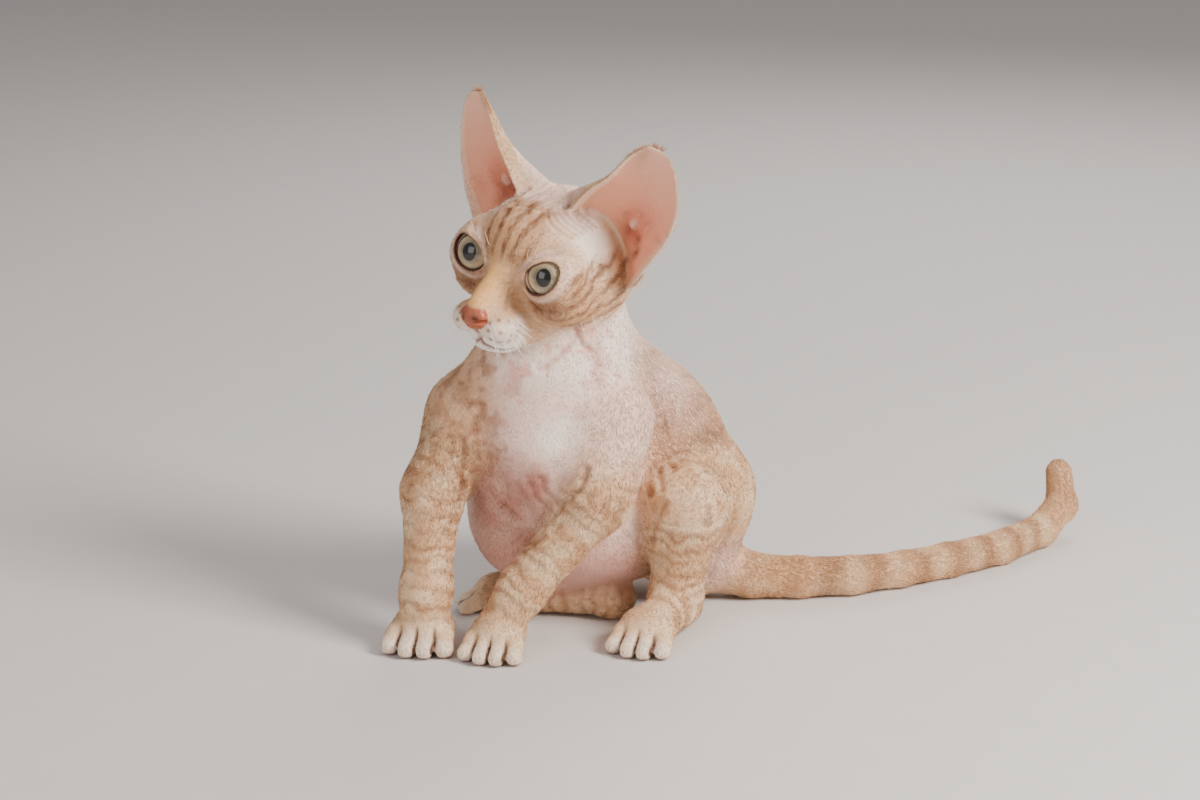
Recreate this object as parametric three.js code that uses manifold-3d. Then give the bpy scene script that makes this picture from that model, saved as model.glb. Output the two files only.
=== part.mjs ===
// A Devon Rex kitten of about twelve weeks, life size. It sits on its rump with the back arched, both
// forelegs planted in front, the right hind foot tucked across under the belly, and the head turned
// to its right. Millimetres. +Z is up, the tail runs out along +X, and the chest faces -Y.
//
// Flesh is described by fields. A field is a function of a point: below zero inside, zero on the
// surface, and about the distance in millimetres elsewhere. Eggs and tapered bones are blended where
// they grow from one another, the zero surface is meshed, and the body is then parted at its joints
// by cuts that are 0.3 mm wide. Everything that rests on the floor ends in a small flat at Z = 0.
import * as THREE from "three";
import { mergeVertices } from "three/addons/utils/BufferGeometryUtils.js";
import Module from "manifold-3d";

const wasm = await Module();
wasm.setup();

// Gap between parts, and how far a part that rests on the floor is flattened
const GAP = 0.3;
const SOLE_DIP = 0.6;

// Head, in its own frame: forward, left and up from the middle of the skull
const HEAD_PLACE = [40.5, 35.4, 172.5];
const HEAD_YAW = 40.4;
const HEAD_PITCH = 6.7;
const HEAD_ROLL = 7.6;
const EYE_RADIUS = 11;
const EYE_CENTRE = [20.2, 19.8, 2.4];
const EYE_TURN = 10;
const EYE_OPENING = [7.7, 6.8];
const OPENING_AT = [1, 2.4];
const OPENING_SLOPE = 0.25;
const LID = 1.3;
const MOUTH_LINE = [
  [48, 0, -21],
  [45, 1.2, -26],
  [42.5, 4, -28.3],
  [38.5, 8, -30.5],
  [33, 12, -31.5],
  [28, 14.5, -31],
];
const NOSE = [47, 0, -13.5];
const NOSE_RADII = [4, 7.2, 5.2];

// Ear of the left side, in the frame of the head: its two edges from root to tip
const EAR_INNER_EDGE = [
  [3, 13, 24],
  [1.6, 22.5, 36.5],
  [-1.9, 31.4, 45],
  [-5.3, 39.1, 55],
  [-8.8, 47.5, 61.6],
];
const EAR_OUTER_EDGE = [
  [-17, 27, -17],
  [-6, 43.5, -4],
  [-6, 52, 8],
  [-9.5, 59, 20],
  [-12, 62.5, 34],
  [-12.2, 60.5, 51],
  [-10.8, 54.5, 60.2],
];
const EAR_FACING = [0.945, 0.322, 0.065];
const EAR_DEPTH = 22;
const EAR_SHEET = 1.7;
const EAR_RIM_DEPTH = 0.8;
// Flesh that fills out the inner half of the back of the ear near its root
const EAR_ROOT = { most: 18, least: 1.5, toward: [-0.45, -0.9, 0], from: 0.1, to: 0.42 };

// Joints of the pose, and the half-thickness of the flesh there
const LEGS = {
  front_right: {
    joints: [
      [5, 44, 97, 18],
      [-10, 25, 68, 13.5],
      [-13, 12, 25, 11],
      [-14, 10, 13, 10.5],
    ],
    paw: { at: [-15.5, 6], heading: [-0.18, -1], width: 34 },
  },
  front_left: {
    joints: [
      [70, 25, 100, 18],
      [64, 11, 68, 13],
      [30, 8, 28, 10.4],
      [20, 4, 13, 10],
    ],
    paw: { at: [17.5, -3], heading: [-0.25, -1], width: 30.5 },
  },
  hind_left: {
    joints: [
      [112, 68, 54, 24.3],
      [102, 28, 61, 17],
      [98, 32, 14, 11.5],
      [90, 13, 11, 10],
    ],
    paw: { at: [83, 5], heading: [-0.35, -1], width: 31 },
  },
  hind_right: {
    joints: [
      [96, 102, 36, 22],
      [52, 96, 26, 14],
      [70, 48, 10, 9],
      [26, 56, 9, 9],
    ],
    paw: { at: [12, 59], heading: [-1, 0.25], width: 28 },
  },
};
const TAIL = [
  [118, 76, 16, 14],
  [134, 76, 10.5, 11],
  [157, 76, 9.4, 10],
  [181, 80, 8.8, 9.4],
  [205, 90, 8.3, 8.9],
  [230, 104, 8, 8.6],
  [257, 123, 7.9, 8.5],
  [280, 148, 8, 8.4],
  [293, 166, 15, 8.2],
  [292, 173, 30, 7],
];

const TAIL_CUTS = [3, 5, 7];
const TRUNK_CUTS = [
  ["neck", [45, 43, 126], [0.1, -0.1, 1]],
  ["chest", [66, 56, 70], [-0.6, -0.6, 0.55]],
  ["belly", [92, 72, 50], [-0.85, -0.5, 0.1]],
];
const LEG_BLEND = 8;
const ROOT_BLEND = 12;
const REGION_ROOM = 3.5;

// Cell sizes of the meshes, and the triangles kept after thinning
const HEAD_MESH = { cell: 2.4, keep: 2110 };
const TRUNK_MESH = { cell: 5, keep: 1100 };
const LEG_MESH = { cell: 3.8, keep: 390 };
const ROOT_MESH = { cell: 5, keep: 430 };
const REGION_MESH = { cell: 5, keep: 180 };
const TAIL_MESH = { cell: 3.6, keep: 380 };

// Vectors
const add = (a, b, s = 1) => [a[0] + b[0] * s, a[1] + b[1] * s, a[2] + b[2] * s];
const sub = (a, b) => add(a, b, -1);
const dot = (a, b) => a[0] * b[0] + a[1] * b[1] + a[2] * b[2];
const cross = (a, b) => [
  a[1] * b[2] - a[2] * b[1],
  a[2] * b[0] - a[0] * b[2],
  a[0] * b[1] - a[1] * b[0],
];
const unit = (a) => add([0, 0, 0], a, 1 / Math.hypot(...a));
const mix = (a, b, t) => add(a, sub(b, a), t);
const radians = (degrees) => (degrees * Math.PI) / 180;

// A frame is a place with three axes: forward, left and up
function frameAt(place, forward, up = [0, 0, 1]) {
  const f = unit(forward);
  const l = unit(cross(up, f));
  return { place, f, l, u: cross(f, l) };
}
function toFrame(frame, p) {
  const d = sub(p, frame.place);
  return [dot(d, frame.f), dot(d, frame.l), dot(d, frame.u)];
}
function fromFrame(frame, q) {
  return add(add(add(frame.place, frame.f, q[0]), frame.l, q[1]), frame.u, q[2]);
}

// Fields
function smoothMin(a, b, k) {
  const h = Math.max(k - Math.abs(a - b), 0) / k;
  return Math.min(a, b) - (h * h * k) / 4;
}

function egg(centre, radii) {
  return (p) => {
    const s = sub(p, centre).map((x, i) => x / radii[i]);
    const inner = Math.hypot(...s);
    const slope = Math.hypot(...s.map((x, i) => x / radii[i]));
    return slope < 1e-9 ? -Math.min(...radii) : (inner * (inner - 1)) / slope;
  };
}

function turnedEgg(centre, radii, forward, up) {
  const frame = frameAt(centre, forward, up);
  const level = egg([0, 0, 0], radii);
  return (p) => level(toFrame(frame, p));
}

function bone(a, b, ra, rb) {
  const along = sub(b, a);
  const square = dot(along, along);
  return (p) => {
    const t = Math.min(1, Math.max(0, dot(sub(p, a), along) / square));
    return Math.hypot(...sub(p, add(a, along, t))) - (ra + (rb - ra) * t);
  };
}

// Joints hold a place and a radius, and each pair of neighbours makes a bone
function chain(joints, blend, swell = 0) {
  const bones = joints
    .slice(1)
    .map((end, i) => bone(joints[i], end, joints[i][3] + swell, end[3] + swell));
  return (p) => bones.reduce((d, f) => smoothMin(d, f(p), blend), 1e3);
}

// Each piece is a blend width and a field
function blended(pieces) {
  return (p) => pieces.reduce((d, [k, f]) => smoothMin(d, f(p), k), 1e3);
}

// Head
function headFrame() {
  const [yaw, pitch, roll] = [HEAD_YAW, HEAD_PITCH, HEAD_ROLL].map(radians);
  const level = [-Math.sin(yaw), -Math.cos(yaw), 0];
  const side = [Math.cos(yaw), -Math.sin(yaw), 0];
  const rise = add([0, 0, Math.cos(pitch)], level, Math.sin(pitch));
  return {
    place: HEAD_PLACE,
    f: add([0, 0, -Math.sin(pitch)], level, Math.cos(pitch)),
    l: add(add([0, 0, 0], side, Math.cos(roll)), rise, -Math.sin(roll)),
    u: add(add([0, 0, 0], rise, Math.cos(roll)), side, Math.sin(roll)),
  };
}
const HEAD = headFrame();
const SIDES = { left: 1, right: -1 };

function skullField() {
  const pieces = [
    [10, egg([-10, 0, 0], [31, 29, 28])],
    [12, egg([9, 0, 9], [21, 24, 17])],
    [8, bone([22, 0, 2], [44, 0, -9], 8, 4.8)],
    [7, egg([31, 0, -17], [14, 12, 9.5])],
    [4, egg([35, 0, -27.5], [8.5, 8, 6])],
  ];
  for (const side of Object.values(SIDES)) {
    const [forward, left, up] = EYE_CENTRE;
    pieces.push([9, egg([10, 21 * side, -10], [18, 13, 12])]);
    pieces.push([9, egg([-8, 23 * side, -9], [17, 13.5, 14])]);
    pieces.push([8, bone([15, 25 * side, 8], [17, 26 * side, -8], 7.5, 7.5)]);
    pieces.push([4, egg([forward, left * side, up], [1, 1, 1].map((x) => x * (EYE_RADIUS + LID)))]);
    pieces.push([4, egg([19.5, 23 * side, 1], [11.5, 11.5, 11.5])]);
    pieces.push([4, egg([38.5, 8.2 * side, -18.5], [9.5, 8.3, 7.2])]);
    pieces.push([6, bone([30, 6 * side, -25.5], [-2, 20 * side, -19], 7.5, 8.5)]);
  }
  return blended(pieces);
}

// Trunk, from the nape to the rump
function trunkField() {
  return blended([
    [1, bone([50, 45, 156], [46, 43, 122], 25, 32)],
    [14, turnedEgg([42, 44, 88], [37, 36, 46], [-0.57, -0.82, 0])],
    [12, bone([25, 44, 116], [7, 44, 99], 21, 18)],
    [12, bone([60, 50, 128], [84, 66, 96], 18, 24)],
    [12, egg([40, 52, 52], [37, 32, 38])],
    [14, turnedEgg([70, 59, 54], [44, 37, 40], [-0.78, -0.62, 0])],
    [14, turnedEgg([91, 73, 71], [33, 31, 36], [-0.85, -0.5, 0])],
    [14, turnedEgg([104, 78, 34], [26, 29, 34.6], [-0.85, -0.5, 0])],
  ]);
}

// Meshes of fields: one point in each cell that the surface crosses, and a quad round each edge
const CUBE = [0, 1, 2, 3, 4, 5, 6, 7].map((n) => [n & 1, (n >> 1) & 1, n >> 2]);
const CUBE_EDGES = CUBE.flatMap((a, m) =>
  [0, 1, 2].filter((axis) => !a[axis]).map((axis) => [m, m + (1 << axis)]),
);

function gridOf(field, low, high, cell) {
  const size = low.map((a, i) => Math.ceil((high[i] - a) / cell) + 1);
  const at = (i, j, k) => i + size[0] * (j + size[1] * k);
  const place = (cellAt) => cellAt.map((n, axis) => low[axis] + n * cell);
  const value = new Float64Array(size[0] * size[1] * size[2]);
  for (let k = 0; k < size[2]; k += 1) {
    for (let j = 0; j < size[1]; j += 1) {
      for (let i = 0; i < size[0]; i += 1) {
        const edge = [i, j, k].some((n, axis) => n === 0 || n === size[axis] - 1);
        value[at(i, j, k)] = edge ? cell : field(place([i, j, k]));
      }
    }
  }
  return { size, at, place, value };
}

function surfaceOf(field, low, high, cell) {
  const { size, at, place, value } = gridOf(field, low, high, cell);
  const corner = CUBE.map((c) => at(...c));
  const points = [];
  const faces = [];
  const index = new Map();
  const quad = (ring, flip) => {
    const [a, b, c, d] = (flip ? ring.reverse() : ring).map((n) => index.get(n));
    faces.push(a, b, c, a, c, d);
  };
  for (let k = 0; k < size[2] - 1; k += 1) {
    for (let j = 0; j < size[1] - 1; j += 1) {
      for (let i = 0; i < size[0] - 1; i += 1) {
        const here = at(i, j, k);
        const crossings = [];
        for (const [m, n] of CUBE_EDGES) {
          const a = value[here + corner[m]];
          const b = value[here + corner[n]];
          if (a < 0 !== b < 0) crossings.push(mix(CUBE[m], CUBE[n], a / (a - b)));
        }
        if (crossings.length) {
          const sum = crossings.reduce((s, c) => add(s, c), [0, 0, 0]);
          index.set(here, points.length);
          points.push(place(add([i, j, k], sum, 1 / crossings.length)));
        }
      }
    }
  }
  for (let k = 1; k < size[2] - 1; k += 1) {
    for (let j = 1; j < size[1] - 1; j += 1) {
      for (let i = 1; i < size[0] - 1; i += 1) {
        const inside = value[at(i, j, k)] < 0;
        const back = (di, dj, dk) => at(i - di, j - dj, k - dk);
        if (inside !== value[at(i + 1, j, k)] < 0) {
          quad([back(0, 1, 1), back(0, 0, 1), back(0, 0, 0), back(0, 1, 0)], !inside);
        }
        if (inside !== value[at(i, j + 1, k)] < 0) {
          quad([back(1, 0, 1), back(1, 0, 0), back(0, 0, 0), back(0, 0, 1)], !inside);
        }
        if (inside !== value[at(i, j, k + 1)] < 0) {
          quad([back(1, 1, 0), back(0, 1, 0), back(0, 0, 0), back(1, 0, 0)], !inside);
        }
      }
    }
  }
  return { points, faces };
}

// Slides a point along the slope of a field until it lies on the surface
function onSurface(field, start) {
  let p = start;
  for (let n = 0; n < 4; n += 1) {
    const d = field(p);
    const slope = [0, 1, 2].map((axis) => {
      const q = [...p];
      q[axis] += 0.05;
      return (field(q) - d) / 0.05;
    });
    p = add(p, slope, -d / Math.max(dot(slope, slope), 0.05));
  }
  return p;
}

// Thins a closed mesh by joining the two ends of the edges that matter least, in passes
function thinned({ points, faces }, field, keep) {
  const place = points.map((p) => onSurface(field, p));
  let live = [];
  for (let n = 0; n < faces.length; n += 3) live.push(faces.slice(n, n + 3));
  while (live.length > keep) {
    const around = place.map(() => []);
    live.forEach((face) => face.forEach((v) => around[v].push(face)));
    const plane = new Map();
    for (const face of live) {
      const [a, b, c] = face.map((v) => place[v]);
      const normal = cross(sub(b, a), sub(c, a));
      const size = Math.hypot(...normal);
      plane.set(face, { normal: add([0, 0, 0], normal, 1 / size), at: a, size });
    }
    const rims = around.map((ring) => new Set(ring.flat()));
    const edges = [];
    for (const face of live) {
      face.forEach((a, n) => {
        const b = face[(n + 1) % 3];
        if (a > b) return;
        const middle = onSurface(field, mix(place[a], place[b], 0.5));
        let cost = 1e-3 * dot(sub(place[a], place[b]), sub(place[a], place[b]));
        for (const near of [...around[a], ...around[b]]) {
          const { normal, at, size } = plane.get(near);
          cost += size * dot(normal, sub(middle, at)) ** 2;
        }
        edges.push({ a, b, middle, cost });
      });
    }
    edges.sort((x, y) => x.cost - y.cost);
    const locked = new Set();
    const most = Math.max(1, Math.min((live.length - keep) / 2, live.length / 12));
    let joined = 0;
    for (const { a, b, middle } of edges) {
      if (joined >= most) break;
      const shared = [...rims[a]].filter((v) => rims[b].has(v));
      const rim = [...rims[a], ...rims[b]];
      if (shared.length !== 4 || rim.some((v) => locked.has(v))) continue;
      const turned = [...around[a], ...around[b]].some((face) => {
        if (face.includes(a) && face.includes(b)) return false;
        const [p, q, r] = face.map((v) => (v === a || v === b ? middle : place[v]));
        const normal = cross(sub(q, p), sub(r, p));
        return dot(unit(normal), plane.get(face).normal) < 0.5;
      });
      if (turned) continue;
      rim.forEach((v) => locked.add(v));
      around[b].forEach((face) => face.splice(face.indexOf(b), 1, a));
      place[a] = middle;
      joined += 1;
    }
    live = live.filter((face) => new Set(face).size === 3);
    if (!joined) break;
  }
  const used = [...new Set(live.flat())];
  const order = new Map(used.map((v, n) => [v, n]));
  return {
    points: used.map((v) => place[v]),
    faces: live.flat().map((v) => order.get(v)),
  };
}

// Geometry and solids
function toGeometry({ points, faces }) {
  const made = new THREE.BufferGeometry();
  made.setAttribute("position", new THREE.Float32BufferAttribute(points.flat(), 3));
  made.setIndex(faces);
  return made;
}

// Shapes of the library repeat their points along a seam, and such points are joined
const SAME_POINT = 1e-4;
function toSolid(geometry) {
  const bare = geometry.clone();
  bare.deleteAttribute("normal");
  bare.deleteAttribute("uv");
  const merged = geometry.attributes.uv ? mergeVertices(bare, SAME_POINT) : bare;
  return new wasm.Manifold(
    new wasm.Mesh({
      numProp: 3,
      vertProperties: merged.attributes.position.array,
      triVerts: new Uint32Array(merged.index.array),
    }),
  );
}

function fromSolid(solid) {
  const mesh = solid.getMesh();
  const made = new THREE.BufferGeometry();
  made.setAttribute("position", new THREE.BufferAttribute(mesh.vertProperties, 3));
  made.setIndex(new THREE.BufferAttribute(mesh.triVerts, 1));
  return made;
}

const largest = (solid) =>
  solid.decompose().reduce((a, b) => (b.volume() > a.volume() ? b : a));

// The same closed surface pushed out along its normals
function grown(geometry, by) {
  const made = geometry.clone();
  made.computeVertexNormals();
  const { position, normal } = made.attributes;
  for (let n = 0; n < position.count; n += 1) {
    position.setXYZ(
      n,
      position.getX(n) + normal.getX(n) * by,
      position.getY(n) + normal.getY(n) * by,
      position.getZ(n) + normal.getZ(n) * by,
    );
  }
  return made;
}

// All that lies on the side of a plane that its normal points to
const FAR = 1200;
function halfSpace(point, normal) {
  const box = new THREE.BoxGeometry(FAR, FAR, FAR);
  box.translate(0, 0, FAR / 2);
  box.applyQuaternion(
    new THREE.Quaternion().setFromUnitVectors(
      new THREE.Vector3(0, 0, 1),
      new THREE.Vector3(...unit(normal)),
    ),
  );
  box.translate(...point);
  return toSolid(box);
}

// Parts a solid by a plane, with half of the gap on each side
function partedAt(solid, point, normal) {
  const way = unit(normal);
  return {
    ahead: largest(solid.intersect(halfSpace(add(point, way, GAP / 2), way))),
    behind: largest(
      solid.intersect(halfSpace(add(point, way, -GAP / 2), way.map((x) => -x))),
    ),
  };
}

const ABOVE_FLOOR = halfSpace([0, 0, 0], [0, 0, 1]);

// The box that holds a set of joints with room to spare
function boxOf(joints, room) {
  return [
    [0, 1, 2].map((axis) => Math.min(...joints.map((j) => j[axis] - j[3])) - room),
    [0, 1, 2].map((axis) => Math.max(...joints.map((j) => j[axis] + j[3])) + room),
  ];
}
function meshOf(field, [low, high], { cell, keep }) {
  return toGeometry(thinned(surfaceOf(field, low, high, cell), field, keep));
}

// Egg-shaped and capsule-shaped solids for small features
function eggSolid(frame, centre, radii, detail = [14, 9]) {
  const ball = new THREE.SphereGeometry(1, ...detail);
  ball.scale(...radii);
  return toSolid(placed(ball, frame, centre));
}
function placed(geometry, frame, centre = [0, 0, 0]) {
  const turn = new THREE.Matrix4().makeBasis(
    new THREE.Vector3(...frame.f),
    new THREE.Vector3(...frame.l),
    new THREE.Vector3(...frame.u),
  );
  geometry.translate(...centre);
  geometry.applyMatrix4(turn);
  geometry.translate(...frame.place);
  return geometry;
}

// A round tube with closed ends, along points given in a frame
function tube(frame, points, radius, sides = 3, steps = 9) {
  const outline = new THREE.Shape();
  outline.absarc(0, 0, radius, 0, 2 * Math.PI);
  const path = new THREE.CatmullRomCurve3(points.map((p) => new THREE.Vector3(...p)));
  const swept = new THREE.ExtrudeGeometry(outline, {
    extrudePath: path,
    steps,
    curveSegments: sides,
    bevelEnabled: false,
  });
  return toSolid(placed(swept, frame));
}

// Paw: a palm and four toes that reach forward and down to the floor
function pawSolid({ at, heading, width }) {
  const frame = frameAt([...at, 0], [...heading, 0]);
  const toeRadius = width / 7.3;
  const spread = (width - 2 * toeRadius) / 3;
  const palmRadii = [13, width * 0.41, 9.5];
  let paw = eggSolid(frame, [-7, 0, palmRadii[2] - SOLE_DIP], palmRadii, [10, 7]);
  for (let toe = 0; toe < 4; toe += 1) {
    const off = toe - 1.5;
    const tip = [10.5 - 1.5 * off * off, off * spread, toeRadius - SOLE_DIP];
    const root = [tip[0] - 13, tip[1] * 0.72, 10];
    const length = Math.hypot(...sub(tip, root));
    const finger = new THREE.CapsuleGeometry(toeRadius, length, 3, 8);
    const aim = new THREE.Quaternion().setFromUnitVectors(
      new THREE.Vector3(0, 1, 0),
      new THREE.Vector3(...unit(sub(tip, root))),
    );
    finger.applyQuaternion(aim);
    paw = paw.add(toSolid(placed(finger, frame, mix(root, tip, 0.5))));
  }
  return paw;
}

// Ear: a cupped sheet between its two edges, closed at the rim, with its root inside the head
const EAR_ACROSS = 10;
const EAR_ALONG = 11;
function earSheet(side) {
  const curve = (edge) =>
    new THREE.CatmullRomCurve3(edge.map((p) => new THREE.Vector3(...p)));
  const inner = curve(EAR_INNER_EDGE);
  const outer = curve(EAR_OUTER_EDGE);
  const sheet = (across, along) => {
    const a = inner.getPoint(along).toArray();
    const b = outer.getPoint(along).toArray();
    const depth = EAR_RIM_DEPTH + EAR_DEPTH * (1 - along) ** 1.1;
    const bow = Math.sin(Math.PI * across) ** 0.65;
    return add(mix(a, b, across), EAR_FACING, -depth * bow);
  };
  const behind = (across, along) => {
    const { most, least, toward, from, to } = EAR_ROOT;
    const rise = THREE.MathUtils.smoothstep(across, 0, from / 2);
    const fall = 1 - THREE.MathUtils.smoothstep(across, from, to);
    return add(sheet(across, along), toward, (least + most * (1 - along) ** 3) * rise * fall);
  };
  const step = 0.01;
  const ahead = (across, along) => {
    const s = Math.min(1 - step, Math.max(step, across));
    const t = Math.min(1 - step, Math.max(step, along));
    const du = sub(sheet(s + step, t), sheet(s - step, t));
    const dv = sub(sheet(s, t + step), sheet(s, t - step));
    const thick = EAR_SHEET * (0.6 + 0.4 * Math.sin(Math.PI * across));
    return add(sheet(across, along), unit(cross(du, dv)), thick);
  };
  const points = [];
  for (const layer of [behind, ahead]) {
    for (let j = 0; j <= EAR_ALONG; j += 1) {
      for (let i = 0; i <= EAR_ACROSS; i += 1) {
        const q = layer(i / EAR_ACROSS, j / EAR_ALONG);
        points.push(fromFrame(HEAD, [q[0], q[1] * side, q[2]]));
      }
    }
  }
  const row = EAR_ACROSS + 1;
  const layer = row * (EAR_ALONG + 1);
  const faces = [];
  const quad = (a, b, c, d) => faces.push(a, b, c, a, c, d);
  for (let j = 0; j < EAR_ALONG; j += 1) {
    for (let i = 0; i < EAR_ACROSS; i += 1) {
      const n = j * row + i;
      quad(n, n + row, n + row + 1, n + 1);
      quad(layer + n, layer + n + 1, layer + n + row + 1, layer + n + row);
    }
    const a = j * row;
    const b = j * row + EAR_ACROSS;
    quad(a, layer + a, layer + a + row, a + row);
    quad(b, b + row, layer + b + row, layer + b);
  }
  for (let i = 0; i < EAR_ACROSS; i += 1) {
    const top = EAR_ALONG * row + i;
    quad(i, i + 1, layer + i + 1, layer + i);
    quad(top, layer + top, layer + top + 1, top + 1);
  }
  if (side < 0) faces.reverse();
  return toSolid(toGeometry({ points, faces }));
}

// Eye frame: forward is the way that the eye looks out of the head
function eyeFrame(side) {
  const turn = radians(EYE_TURN);
  const [forward, left, up] = EYE_CENTRE;
  const way = add(
    add([0, 0, 0], HEAD.f, Math.cos(turn)),
    HEAD.l,
    side * Math.sin(turn),
  );
  return frameAt(fromFrame(HEAD, [forward, left * side, up]), way, HEAD.u);
}

// The outline of the opening between the lids, seen along the eye. It rises towards the ear.
const OPENING_POINTS = 18;
function openingOutline(side) {
  return Array.from({ length: OPENING_POINTS }, (_, n) => {
    const angle = (n / OPENING_POINTS) * 2 * Math.PI;
    const out = EYE_OPENING[0] * Math.cos(angle);
    const up = EYE_OPENING[1] * Math.sin(angle) + OPENING_SLOPE * out;
    return [(out + OPENING_AT[0]) * side, up + OPENING_AT[1]];
  });
}

// A ring that lies on a ball round the eye opening
function lidRing(frame, side, reach, radius) {
  const points = openingOutline(side).map(
    ([y, z]) => new THREE.Vector3(Math.sqrt(reach ** 2 - y ** 2 - z ** 2), y, z),
  );
  const loop = new THREE.CatmullRomCurve3(points, true);
  return toSolid(placed(new THREE.TubeGeometry(loop, OPENING_POINTS, radius, 5, true), frame));
}

const OPENING_REACH = 20;
function eyeOpening(frame, side) {
  const outline = new THREE.Shape(openingOutline(side).map((p) => new THREE.Vector2(...p)));
  const prism = new THREE.ExtrudeGeometry(outline, {
    depth: OPENING_REACH,
    bevelEnabled: false,
    curveSegments: 9,
  });
  const turned = new THREE.Matrix4().makeBasis(
    new THREE.Vector3(0, 1, 0),
    new THREE.Vector3(0, 0, 1),
    new THREE.Vector3(1, 0, 0),
  );
  prism.applyMatrix4(turned);
  return toSolid(placed(prism, frame));
}

// Materials
const COAT = 0xe3c3a2;
const SKIN = 0xe8c0b4;
const EAR_SKIN = 0xe2a08c;
const EYE_GLASS = 0x8a8a62;

const model = new THREE.Group();
function part(name, solid, colour, roughness = 0.85) {
  const finish = new THREE.MeshStandardMaterial({ color: colour, roughness });
  const mesh = new THREE.Mesh(fromSolid(solid), finish);
  mesh.name = name;
  model.add(mesh);
}

// Head with its eyes, lids, nose and mouth
const skull = skullField();
const headBox = [
  [-48, -42, -42],
  [62, 42, 42],
];
const skullMesh = placed(meshOf(skull, headBox, HEAD_MESH), HEAD);
const skullRoom = toSolid(grown(skullMesh, GAP));

function headSolid() {
  let head = toSolid(skullMesh);
  head = head.add(eggSolid(HEAD, NOSE, NOSE_RADII));
  for (const side of Object.values(SIDES)) {
    const frame = eyeFrame(side);
    const socket = eggSolid(frame, [0, 0, 0], [1, 1, 1].map((x) => x * (EYE_RADIUS + GAP)), [18, 12]);
    const line = MOUTH_LINE.map(([f, l, u]) => onSurface(skull, [f, l * side, u]));
    const lip = line.map((p) => onSurface(skull, add(p, [0, 0, -1.7])));
    head = head
      .add(lidRing(frame, side, EYE_RADIUS + LID, 1.1))
      .subtract(eyeOpening(frame, side))
      .subtract(socket)
      .add(tube(HEAD, lip.slice(1), 1))
      .subtract(tube(HEAD, line, 0.75))
      .subtract(eggSolid(HEAD, [50.6, 3.8 * side, -14], [2.6, 1.6, 1.3], [10, 6]))
      .subtract(eggSolid(HEAD, [48.2, 6.2 * side, -14.2], [2.2, 2.4, 0.9], [10, 6]));
  }
  return largest(head);
}
part("head", headSolid(), COAT);

for (const [name, side] of Object.entries(SIDES)) {
  const ball = eggSolid(eyeFrame(side), [0, 0, 0], [1, 1, 1].map((x) => x * EYE_RADIUS), [18, 12]);
  part(`eye_${name}`, ball, EYE_GLASS, 0.1);
  part(`ear_${name}`, largest(earSheet(side).subtract(skullRoom)), EAR_SKIN);
}

// Trunk and legs. A region round the first bone of each leg says what belongs to that leg, so the
// shoulder and the thigh come away whole from the trunk.
const trunk = trunkField();
const TRUNK_BOX = [
  [-30, -15, -6],
  [150, 130, 175],
];
const trunkMesh = meshOf(trunk, TRUNK_BOX, TRUNK_MESH);
let trunkSolid = toSolid(trunkMesh).intersect(ABOVE_FLOOR).subtract(skullRoom);

const legs = Object.entries(LEGS).map(([name, { joints, paw }]) => {
  const whole = chain(joints, LEG_BLEND);
  const root = joints.slice(0, 2);
  const region = chain(root, LEG_BLEND, REGION_ROOM);
  const regionMesh = meshOf(region, boxOf(root, 24), REGION_MESH);
  const grownFromTrunk = blended([[1, trunk], [ROOT_BLEND, whole]]);
  const rootField = (p) => Math.max(grownFromTrunk(p), region(p) - REGION_ROOM);
  const rootMesh = meshOf(rootField, boxOf(root, 30), ROOT_MESH);
  const legMesh = meshOf(whole, boxOf(joints, 20), LEG_MESH);
  return { name, joints, paw, regionMesh, rootMesh, legMesh };
});

const LEG_PARTS = {
  front: ["upper_arm", "forearm", "paw"],
  hind: ["thigh", "shin", "foot"],
};
const taken = [];
for (const leg of legs) {
  const [top, bend, end] = leg.joints;
  const bendPlane = add(unit(sub(bend, top)), unit(sub(end, bend)));
  let root = toSolid(leg.rootMesh).intersect(toSolid(leg.regionMesh));
  for (const solid of taken) root = root.subtract(solid);
  root = root.intersect(ABOVE_FLOOR).subtract(skullRoom);
  const { behind } = partedAt(root, bend, bendPlane);
  const { ahead } = partedAt(toSolid(leg.legMesh).intersect(ABOVE_FLOOR), bend, bendPlane);
  const footPlane = add(unit(sub(end, bend)), unit(sub(leg.joints[3], end)));
  const lower = partedAt(ahead, end, footPlane);
  const paw = lower.ahead.add(pawSolid(leg.paw)).intersect(ABOVE_FLOOR);
  const names = LEG_PARTS[leg.name.split("_")[0]];
  [behind, lower.behind, largest(paw)].forEach((solid, n) => {
    part(`${leg.name}_${names[n]}`, solid, COAT);
  });
  taken.push(toSolid(grown(leg.regionMesh, GAP)));
  taken.push(toSolid(grown(leg.legMesh, GAP)));
}
for (const solid of taken) trunkSolid = trunkSolid.subtract(solid);

let rest = trunkSolid;
for (const [name, point, normal] of TRUNK_CUTS) {
  const { ahead, behind } = partedAt(rest, point, normal);
  part(name, ahead, COAT);
  rest = behind;
}
part("rump", rest, COAT);

const tailMesh = meshOf(chain(TAIL, 3), boxOf(TAIL, 10), TAIL_MESH);
let tail = largest(toSolid(tailMesh).intersect(ABOVE_FLOOR).subtract(toSolid(grown(trunkMesh, GAP))));
TAIL_CUTS.forEach((n, count) => {
  const { ahead, behind } = partedAt(tail, TAIL[n], sub(TAIL[n + 1], TAIL[n - 1]));
  part(`tail_${count + 1}`, behind, COAT);
  tail = ahead;
});
part(`tail_${TAIL_CUTS.length + 1}`, tail, COAT);

// The origin is under the middle of the whole cat, on the floor
const middle = new THREE.Box3().setFromObject(model).getCenter(new THREE.Vector3());
model.position.set(-middle.x, -middle.y, 0);

export default model;
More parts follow.
